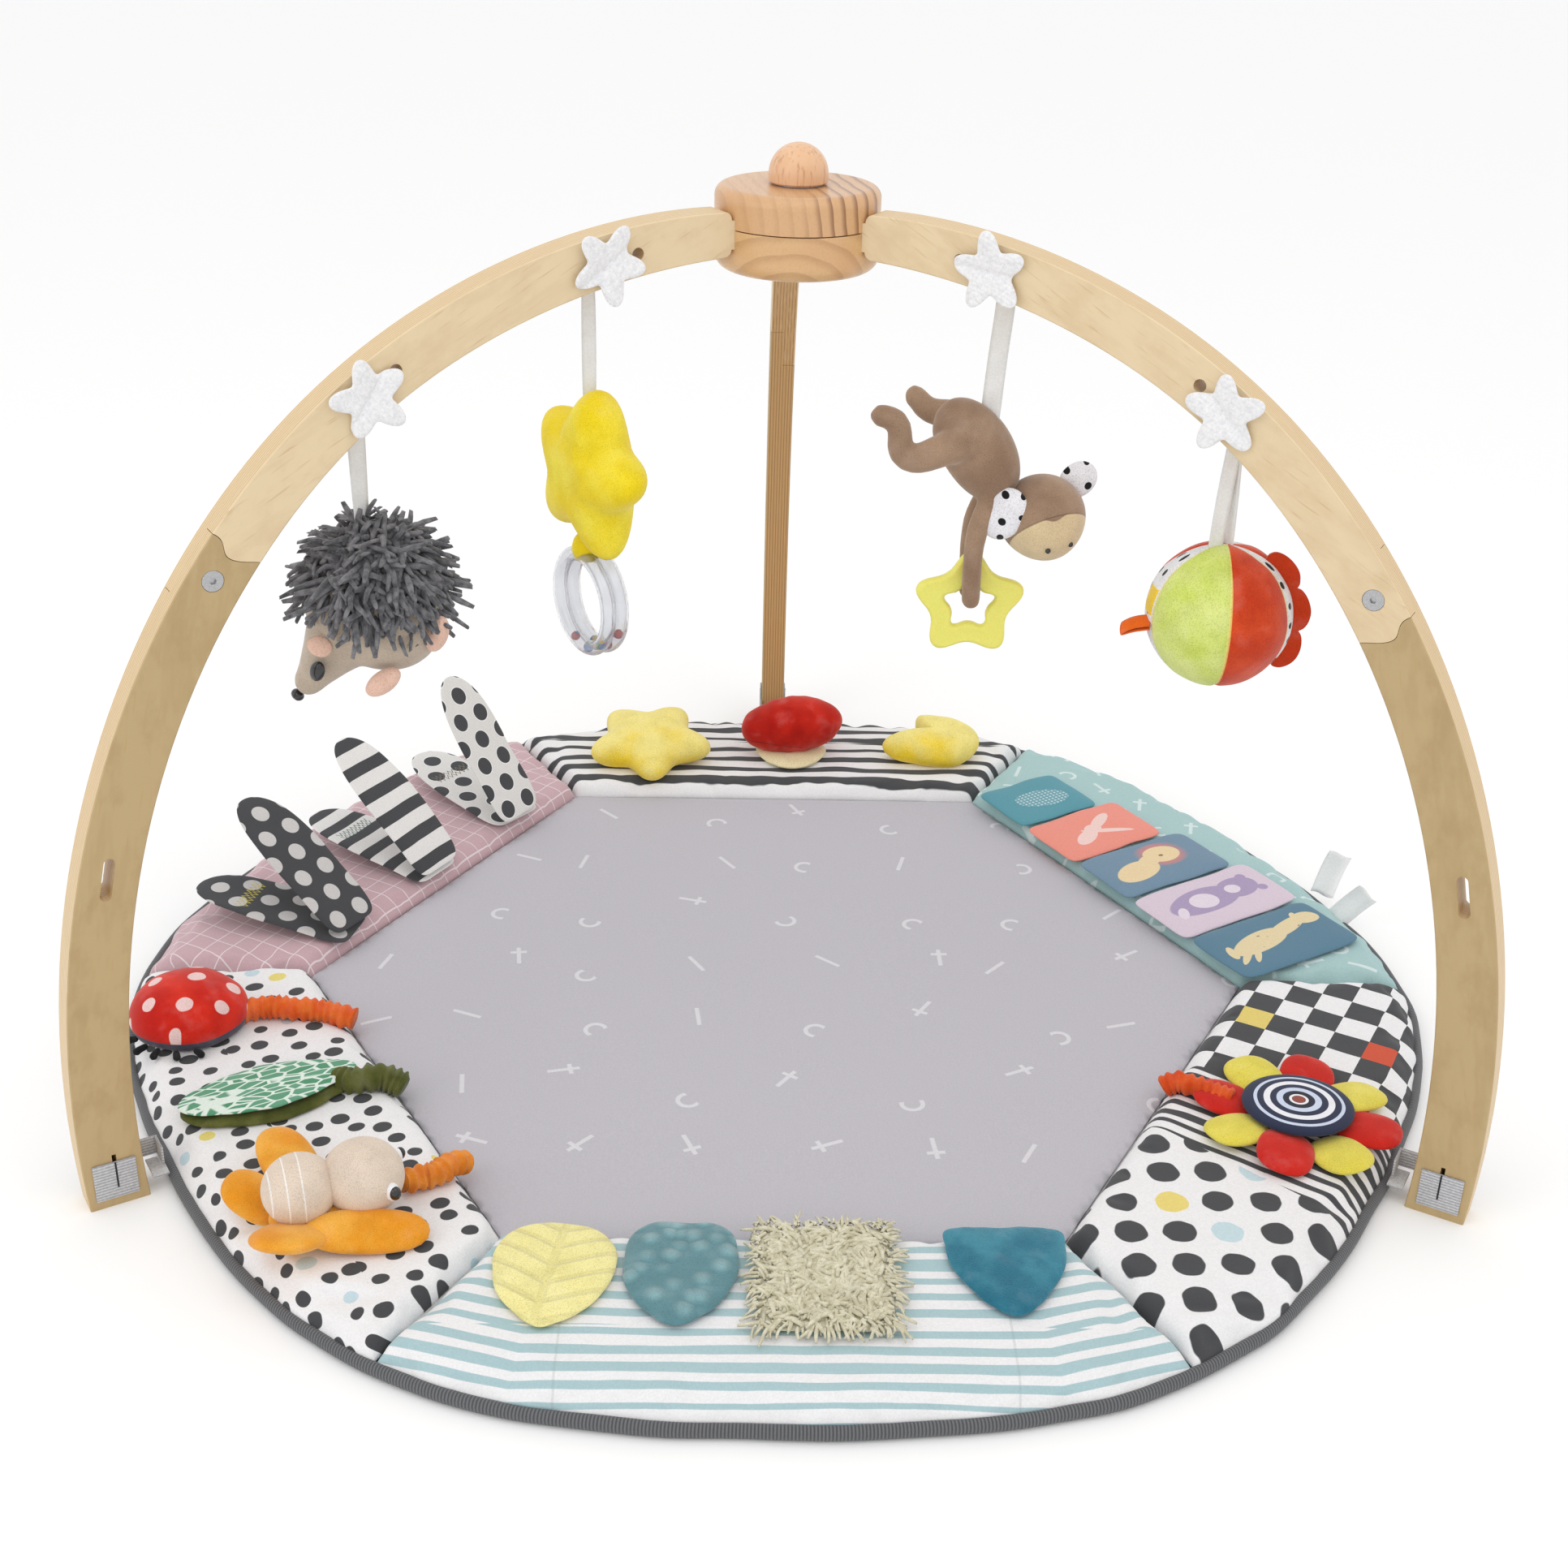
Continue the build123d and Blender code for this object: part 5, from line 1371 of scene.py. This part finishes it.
# ---- winged caterpillar on its tether ----------------------------------------------------------------------
# Two beige balls, the smaller one ribbed with white stitching, lie on four amber velour wings. A sewn
# eye looks out at the front, and an amber sleeve joins the head to the seam.
amber = plush("amber_velour", mottled(srgb(236, 152, 30), srgb(246, 180, 72), 26),
              pile=1500, depth=0.00022, sheen=0.4, tint=(1, 0.9, 0.7, 1))
wings = bmesh.new()
for x, y, turn, long, wide, tilt, roll in ((-357, -296, 122, 37, 21, -14, 8), (-374, -335, 168, 25, 21, -30, 0),
                                           (-340, -378, 245, 28, 27, -20, 10),
                                           (-289, -371, 8, 43, 17, 5, 24)):
    cushion(wings, lambda t, a=long, b=wide: 1
            / ((abs(cos(t)) / a) ** 2.4 + (abs(sin(t)) / b) ** 2.4) ** (1 / 2.4) * MM, 0.0085, around=48,
            rings=8, fullness=2.3, matrix=Matrix.Translation((x * MM, y * MM, 0.0395))
            @ Matrix.Rotation(radians(turn), 4, "Z")
            @ Matrix.Rotation(radians(tilt), 4, "Y") @ Matrix.Rotation(radians(roll), 4, "X"))
blob(wings, (-0.322, -0.346, 0.0375), (0.040, 0.030, 0.0105), (0, 0, 22), detail=4)
piece("caterpillar_wings", wings, amber, body="butterfly",
                replaces=("butterfly",))


def ribbed(fur):
    x, y, z = fur.parts(fur.about((-0.337, -0.352, 0.060), (0, 0, 20)))
    line = abs((x * 95 + 0.5).wrapped() - 0.5).ramp(0.07, 0.03) * x.ramp(0.006, 0.004)
    return fur.mix(line * 0.8, srgb(228, 210, 192), srgb(250, 248, 244))


beige = plush("beige_plush", ribbed, pile=1300, depth=0.0003, sheen=0.3)
balls = bmesh.new()
blob(balls, (-0.3385, -0.350, 0.0590), (0.0262, 0.0262, 0.0255), detail=5)
blob(balls, (-0.2965, -0.336, 0.0600), (0.0290, 0.0280, 0.0275), detail=5)
piece("caterpillar_balls", balls, beige, body="butterfly")
eye_white, eye_dark = bmesh.new(), bmesh.new()
blob(eye_white, (-0.2735, -0.3525, 0.0595), (0.0060, 0.0050, 0.0072), (0, 0, -40), detail=3)
blob(eye_white, (-0.2760, -0.3180, 0.0640), (0.0052, 0.0046, 0.0062), (0, 0, 40), detail=3)
blob(eye_dark, (-0.2710, -0.3550, 0.0600), (0.0044, 0.0042, 0.0054), (0, 0, -40), detail=3)
blob(eye_dark, (-0.2735, -0.3155, 0.0645), (0.0040, 0.0038, 0.0048), (0, 0, 40), detail=3)
piece("caterpillar_eye_whites", eye_white, plush("white_velour", srgb(244, 244, 246), pile=1600, depth=0.0001),
      body="butterfly")
piece("caterpillar_pupils", eye_dark, shiny, body="butterfly")
scrunchie("caterpillar_tether", [(-234, -280, 30), (-241, -288, 37), (-251, -303, 37), (-262, -306, 37),
                                 (-273, -317, 40)], 0.0088,
          gathered("amber_sleeve", srgb(222, 122, 30), srgb(238, 150, 58)), "butterfly", 8)


# ---- flower on its tether -----------------------------------------------------------------------------------
# Four red and four yellow plush petals fan out under a padded disc printed with uneven rings.
FLOWER = Vector((0.396, -0.214, 0))
red_petals, yellow_petals = bmesh.new(), bmesh.new()
for k in range(8):
    turn = 158 + 45 * k
    a = radians(turn)
    cushion((red_petals, yellow_petals)[k % 2],
            lambda t: 1 / ((abs(cos(t)) / 25) ** 2.5 + (abs(sin(t)) / 21.5) ** 2.5) ** 0.4 * MM, 0.0052,
            around=44, rings=8, fullness=2.6,
            matrix=Matrix.Translation(FLOWER
                                      + Vector((cos(a) * 0.0545, sin(a) * 0.0545, 0.0330 + 0.0012 * (k % 3))))
            @ Matrix.Rotation(a, 4, "Z") @ Matrix.Rotation(radians(-7 + 5 * (k % 3)), 4, "Y")
            @ Matrix.Rotation(radians(8 * sin(k * 2.3)), 4, "X"))
piece("flower_red_petals", red_petals,
                plush("petal_red", lambda fur: fur.mix(fur.noise(40), srgb(196, 26, 18), srgb(218, 46, 34)),
                pile=1300, depth=0.0003, sheen=0.3, tint=(1, 0.8, 0.75, 1)), body="flower",
                replaces=("flower",))
piece("flower_yellow_petals", yellow_petals,
                plush("petal_yellow", lambda fur: fur.mix(fur.noise(40), srgb(222, 206, 60),
                                                          srgb(240, 226, 104)),
                pile=1300, depth=0.0003, sheen=0.3), body="flower")


def rings(weave):
    """Uneven rings, white and navy by turns, round a rust-coloured spot."""
    x, y, _ = weave.parts(weave.about(FLOWER))
    out = (x * x + y * y).math("SQRT") + weave.noise(30) * 0.0016 + y * 0.03 - 0.0008
    ink = weave.mix((out * 40).math("SINE").ramp(0.2, 0.6), srgb(24, 24, 26), srgb(34, 42, 70))
    ring = abs((out / 0.0098).wrapped() - 0.5).ramp(0.27, 0.23) * (out > 0.0052) * (out < 0.0345)
    print_colour = weave.mix(ring, ink, weave.mix((out / 0.0196).wrapped().ramp(0.49, 0.51),
                                                  srgb(238, 238, 244), srgb(206, 216, 236)))
    return weave.mix(out.ramp(0.0052, 0.0046), print_colour, srgb(150, 70, 56))


disc = bmesh.new()
cushion(disc, lambda t: 0.0425, 0.0052, around=96, rings=14, fullness=4,
        matrix=Matrix.Translation(FLOWER + Vector((0, 0, 0.0425)))
        @ Matrix.Rotation(radians(-3), 4, "X"))
piece("flower_printed_disc", disc, cloth("disc_print", rings, depth=0.00008), body="flower",
                replaces=("flower_disc",))
scrunchie("flower_tether", [(300, -175, 30), (310, -174, 37), (322, -181, 36), (334, -186, 35),
                            (350, -196, 33)], 0.0082,
          gathered("rust_orange_sleeve", srgb(214, 72, 24), srgb(232, 102, 46)), "flower", 12)


# ---- crinkle petals on the rear-left panel --------------------------------------------------------------------
# Three pairs of rounded cloth petals filled with crinkle film: charcoal with pale dots, black and white
# stripes, white with charcoal dots. A zigzag of stitches marks each lower petal.
REAR_LEFT = radians(150)
PETALS = {     # place along the seam, rise of the upper petal, turn of the lower petal
    "dotted": (137, 38, 17), "striped": (19, 46, 0), "spotted": (-105, 60, -12)}


def petal_frame(along, rise, turn, height):
    n, e = Vector((cos(REAR_LEFT), sin(REAR_LEFT), 0)), Vector((-sin(REAR_LEFT), cos(REAR_LEFT), 0))
    root = n * 0.3484 + e * along * MM + Vector((0, 0, PANEL_TOP + height))
    a = REAR_LEFT + radians(turn)
    out = Vector((cos(a), sin(a), 0))
    ahead = out * cos(radians(rise)) + Vector((0, 0, sin(radians(rise))))
    return facing(root, ahead, Vector((0, 0, cos(radians(rise)))) - out * sin(radians(rise)))


def petal_outline(t):
    power = 2.3 if cos(t) > 0 else 7
    return 1 / ((abs(cos(t)) / 0.075) ** power
                + (abs(sin(t)) / (0.031 if cos(t) > 0 else 0.0305)) ** power) ** (1 / power)


def petal_print(kind, place, stitch):
    def paint(weave):
        turn = [a * 180 / pi for a in place.to_euler()]
        x, y, _ = weave.parts(weave.about(place.translation, turn))
        if kind == "striped":
            edge = (x / 0.0262 + weave.noise(18) * 0.16).wrapped()
            colour = weave.mix(abs(edge - 0.5).ramp(0.235, 0.225), srgb(232, 230, 228), CHARCOAL)
        else:
            row = (x / 0.0235).math("FLOOR")
            column = ((y / 0.0295) + (row * 0.5).wrapped()).wrapped() - 0.5
            side, ahead = column * 0.0295, ((x / 0.0235).wrapped() - 0.5) * 0.0235
            dot = (side * side + ahead * ahead).math("SQRT")
            if kind == "dotted":
                colour = weave.mix(dot.ramp(0.0083, 0.0078), CHARCOAL, srgb(206, 203, 202))
            else:
                halo = weave.mix(dot.ramp(0.0096, 0.0092), srgb(226, 224, 221), srgb(246, 246, 246))
                colour = weave.mix(dot.ramp(0.0088, 0.0084), halo, CHARCOAL)
        if not stitch:
            return colour
        zigzag = abs((y / 0.0050).wrapped() - 0.5) * 0.011
        mark = abs(abs(x - 0.098 - zigzag) - 0.0030).ramp(0.0011, 0.0007) * abs(y).ramp(0.0205, 0.0200)
        return weave.mix(mark, colour, stitch)
    return paint


for kind, (along, rise, turn) in PETALS.items():
    for layer, lift, twist, height in (("lower", 9, turn, 0.002), ("upper", rise, 0, 0.009)):
        place = petal_frame(along, lift, twist, height)
        shape = bmesh.new()
        made = cushion(shape, petal_outline, 0.0022, around=110, rings=16, fullness=5)
        for v in made:
            x, y = v.co.x + 0.075, v.co.y
            share = x / 0.15
            v.co = Vector((x, y, v.co.z + 0.0026))
            v.co.z += 0.0022 * sin(share * 4.2
                                   + along) + 0.0016 * noise.noise(Vector((x * 24, y * 24,
                                                                           along))) + (share ** 2) * y * y * 3.0
            v.co.z -= 0.006 * share * share * (1 if layer == "upper" else 0.2)
        bmesh.ops.transform(shape, matrix=place, verts=shape.verts)
        stitch = {"dotted": srgb(206, 190, 72), "striped": srgb(44, 96, 84),
                  "spotted": srgb(120, 112, 96)}[kind] if layer == "lower" else None
        finish = cloth(f"petal_{kind}_{layer}_print", petal_print(kind, place, stitch), depth=0.0001)
        softened(piece(f"petal_{kind}_{layer}_cloth", shape, finish, body=f"petal_{kind}_{layer}",
                                 replaces=(f"petal_{kind}_{layer}",)))


# ---- cloth pages on the rear-right panel ------------------------------------------------------------------------
# Five padded pages sewn along the seam like a row of book leaves, each with a plain printed shape.
REAR_RIGHT = radians(30)


def oval(x, y, cx, cy, rx, ry, turn=0):
    """1 inside an ellipse, with a crisp soft edge; lengths in millimetres."""
    dx, dy = x - cx * MM, y - cy * MM
    c, s = cos(radians(turn)), sin(radians(turn))
    u, w = (dx * c + dy * s) / (rx * MM), (dy * c - dx * s) / (ry * MM)
    return (u * u + w * w).ramp(1.06, 0.94)


def ovals(x, y, *each):
    """1 inside any of several ellipses."""
    cover = oval(x, y, *each[0])
    for one in each[1:]:
        cover = cover.math("MAXIMUM", oval(x, y, *one))
    return cover


def page_print(number, spot):
    ground, art = [(srgb(84, 150, 164), srgb(208, 224, 226)), (srgb(236, 146, 130), srgb(240, 212, 206)),
                   (srgb(112, 140, 162), srgb(232, 208, 164)), (srgb(216, 200, 214), srgb(170, 152, 186)),
                   (srgb(88, 126, 148), srgb(226, 208, 166))][number]

    def paint(weave):
        x, y, _ = weave.parts(weave.about(spot, (0, 0, 30)))
        if number == 0:
            shape = oval(x, y, 2, -4, 28, 15, -14)
            u, w = (x / 0.0042).wrapped() - 0.5, (y / 0.0042).wrapped() - 0.5
            dots = (u * u + w * w).ramp(0.10, 0.06)
            return weave.mix(shape * (dots * 0.75 + 0.1), ground, art)
        if number == 1:
            shape = ovals(x, y, (-16, -10, 17, 8, 30), (12, 8, 18, 6, 32), (8, -10, 26, 3.2, -28),
                          (-2, 0, 9, 7))
            return weave.mix(shape * 0.9, ground, art)
        if number == 2:
            dx, dy = x - 0.014, y - 0.008
            glow = oval(x, y, 14, 8, 30, 22) * (dx * dx + dy * dy).ramp(0.0008, 0.0001)
            shape = ovals(x, y, (-26, -8, 25, 15, 12), (14, 8, 19, 15), (-6, 2, 16, 9, 30))
            stripe = abs(oval(x, y, -34, -6, 17, 5, 8) - 0.5).ramp(0.2, 0.0) * 0.6
            mark = oval(x, y, 12, 6, 2.4, 2).math("MAXIMUM", stripe)
            return weave.mix(mark, weave.mix(shape, weave.mix(glow * 0.75, ground, srgb(226, 128, 112)), art),
                             srgb(150, 116, 84))
        if number == 3:
            shape = ovals(x, y, (-12, 0, 40, 19, 4), (30, 4, 21, 16), (44, 16, 5, 5), (50, -8, 5, 5))
            light = ovals(x, y, (-14, -1, 15, 12), (24, 4, 8, 7), (-44, -8, 9, 5, 60))
            return weave.mix(light, weave.mix(shape, ground, art), srgb(226, 214, 226))
        shape = ovals(x, y, (-18, 0, 34, 13, 10), (20, 8, 28, 8, 16), (46, 12, 14, 9, -8),
                      (-44, -12, 15, 3.5, 40), (-34, -14, 14, 3.2, 52), (38, 20, 5, 3, 60),
                      (-52, -2, 10, 4, 80))
        fleck, _, _ = weave.cells(150, weave.joined(x * 0.7, y, 0), spread=0.8)
        colour = weave.mix(shape, ground, art)
        return weave.mix(fleck.ramp(0.22, 0.16) * oval(x, y, 0, 3, 40, 9, 12) * 0.75, colour,
                         srgb(124, 104, 82))
    return paint


for number, length in enumerate((84, 100, 118, 126, 126)):
    along = 144 - number * 80
    n, e = Vector((cos(REAR_RIGHT), sin(REAR_RIGHT), 0)), Vector((-sin(REAR_RIGHT), cos(REAR_RIGHT), 0))
    spot = n * (0.3494 + length * MM / 2 - 0.0045) + e * along * MM
    shape = bmesh.new()
    made = cushion(shape, lambda t: 1 / ((abs(cos(t)) / (length / 2 + 4.5)) ** 11
                                         + (abs(sin(t)) / 38.5) ** 11) ** (1 / 11) * MM, 0.0036,
                   around=132, rings=16, fullness=4)
    for v in made:
        sag = 0.0016 * noise.noise(Vector((v.co.x * 22, v.co.y * 22, number * 3)))
        v.co.y += 0.0012 * noise.noise(Vector((v.co.x * 40, number, 0)))
        v.co.z += sag + (v.co.x / (length * MM)) * 0.002 * (1 + number % 2)
    bmesh.ops.transform(shape, matrix=Matrix.Translation(spot + Vector((0, 0, 0.0312)))
                        @ Matrix.Rotation(REAR_RIGHT, 4, "Z"), verts=shape.verts)
    slot = ("page_teal", "page_coral", "page_slate", "page_lilac", "page_blue")[number]
    softened(piece(f"page_{number + 1}_cloth", shape,
                             cloth(f"{slot}_print", page_print(number, spot), depth=0.0001),
                             body=f"page_{number + 1}", replaces=(f"page_{number + 1}",)))


# ---- texture flaps on the front panel --------------------------------------------------------------------------
# Four things to feel: a quilted yellow leaf, a dimpled teal leaf, a shaggy square of beige yarn, and a
# smooth deep-teal velour flap. Each is sewn to the seam by its rear edge.
FLAP_ROOT = -0.3496


def flap(name, middle, reach, outline, half, finish, dents, fullness=3.2):
    shape = bmesh.new()
    made = cushion(shape, outline, half, around=120, rings=18, fullness=fullness,
                   matrix=Matrix.Translation((middle * MM, FLAP_ROOT - reach * MM, ON_PANEL + half + 0.0006)))
    shape.normal_update()
    for v in made:
        v.co += v.normal * dents * noise.noise(v.co * 42)
    return softened(piece(f"{name}_cloth", shape, finish, body=name, replaces=(name,)))


def veins(fur):
    """A seam down the leaf and side seams slanting from it, with the cloth puffed up between them."""
    x, y, _ = fur.parts(fur.about((-0.159, FLAP_ROOT - 0.052, 0), (0, 0, -8)))
    side = abs(((y + abs(x) * -0.55) / 0.0185).wrapped() - 0.5)
    return abs(x).ramp(0.0, 0.004).math("MINIMUM", side.ramp(0.5, 0.32))


def dimples(fur):
    near, _, _ = fur.cells(66, fur.joined(fur.parts()[0], fur.parts()[1], 0), spread=0.9)
    return near.ramp(0.62, 0.1)


# The quilted leaf's seam grooves are painted a darker yellow as shade.
flap("texture_leaf", -158, 51, outlined((0, 42), (30, 47), (60, 50), (80, 49), (100, 50), (125, 52), (150, 48),
                                        (180, 42), (210, 43), (240, 48),
                                        (258, 55), (266, 57), (276, 53), (300, 46), (330, 41)), 0.0052,
     plush("quilted_yellow", lambda fur: fur.mix(veins(fur).ramp(0.3, 0.0) * 0.18,
                                                 fur.mix(fur.noise(30), srgb(244, 232, 148),
                                                         srgb(248, 240, 174)), srgb(206, 184, 98)),
           pile=1000, depth=0.00035, sheen=0.3, relief=veins, rise=0.0014), 0.0006)
# The teal minky's raised dots are painted lighter and the lower ground between them darker, as painted light and
# shade.
flap("texture_minky", -72, 49, outlined((0, 40), (25, 44), (50, 52), (68, 52), (80, 49), (95, 50), (115, 52),
                                        (135, 49), (160, 41), (180, 39), (215, 41),
                                        (245, 48), (262, 55), (272, 56), (290, 49), (325, 41)), 0.0056,
     plush("dimpled_teal", lambda fur: fur.mix(dimples(fur), srgb(96, 140, 148), srgb(130, 172, 178)),
           pile=1100, depth=0.0004, sheen=0.5,
           relief=dimples, rise=0.0024), 0.0010)
flap("texture_velour", 154, 37, outlined((0, 41), (20, 45), (36, 52), (46, 47), (60, 40), (90, 34), (120, 40),
                                         (134, 47), (144, 52), (160, 45), (180, 41),
                                         (205, 39), (230, 41), (252, 49), (264, 55), (270, 57), (276, 55),
                                         (288, 49), (310, 41), (335, 39)), 0.0052,
     plush("deep_teal_velour", mottled(srgb(38, 110, 134), srgb(66, 142, 162), 34), pile=1000,
           depth=0.0006, sheen=0.6, tint=(0.6, 0.9, 1, 1)), 0.0008)

yarn_colour = plush("beige_yarn", lambda fur: fur.mix(fur.noise(200, detail=3).ramp(0.3, 0.7),
                                                      srgb(206, 199, 170), srgb(232, 227, 203)), pile=1500,
                    depth=0.0003, sheen=0.25)
flap("texture_shaggy", 27, 56, lambda t: 1 / ((abs(cos(t)) / 46) ** 10 + (abs(sin(t)) / 53) ** 10) ** 0.1 * MM,
     0.0045, yarn_colour, 0.0006)
YARN = 0.016
yarn = strand(YARN, 0.0023, steps=4, sides=5)
rug = bmesh.new()
chance = random.Random(21)
for row in range(36):
    for column in range(31):
        x = 27 + (column / 30 - 0.5) * 92 + chance.uniform(-1.8, 1.8)
        y = FLAP_ROOT * 1000 - 56 + (row / 35 - 0.5) * 106 + chance.uniform(-1.8, 1.8)
        swirl = noise.noise(Vector((x * 0.06, y * 0.06, 4))) * 7 - pi / 2
        edge = max(abs(x - 27) / 46, abs(y - FLAP_ROOT * 1000 + 56) / 53)
        outward = atan2((y - FLAP_ROOT * 1000 + 56) / 53, (x - 27) / 46)
        aim = outward if edge > 0.93 and chance.random() < 0.7 else swirl + chance.gauss(0, 0.5)
        lie = Vector((cos(aim), sin(aim), chance.uniform(0.12, 0.7) * (1 if edge < 0.9 else 0.3))).normalized()
        size = chance.uniform(0.55, 0.85) * (0.72 if edge > 0.86 else 1)
        sewn_on(rug, yarn, YARN, Vector((x * MM, y * MM, ON_PANEL + 0.0085)), lie, size,
                Vector((chance.gauss(0, 0.5), chance.gauss(0, 0.5), -0.55)))
for v in rug.verts:
    v.co.z = max(v.co.z, ON_PANEL + 0.0010)
piece("texture_shaggy_yarn", rug, yarn_colour, body="texture_shaggy")
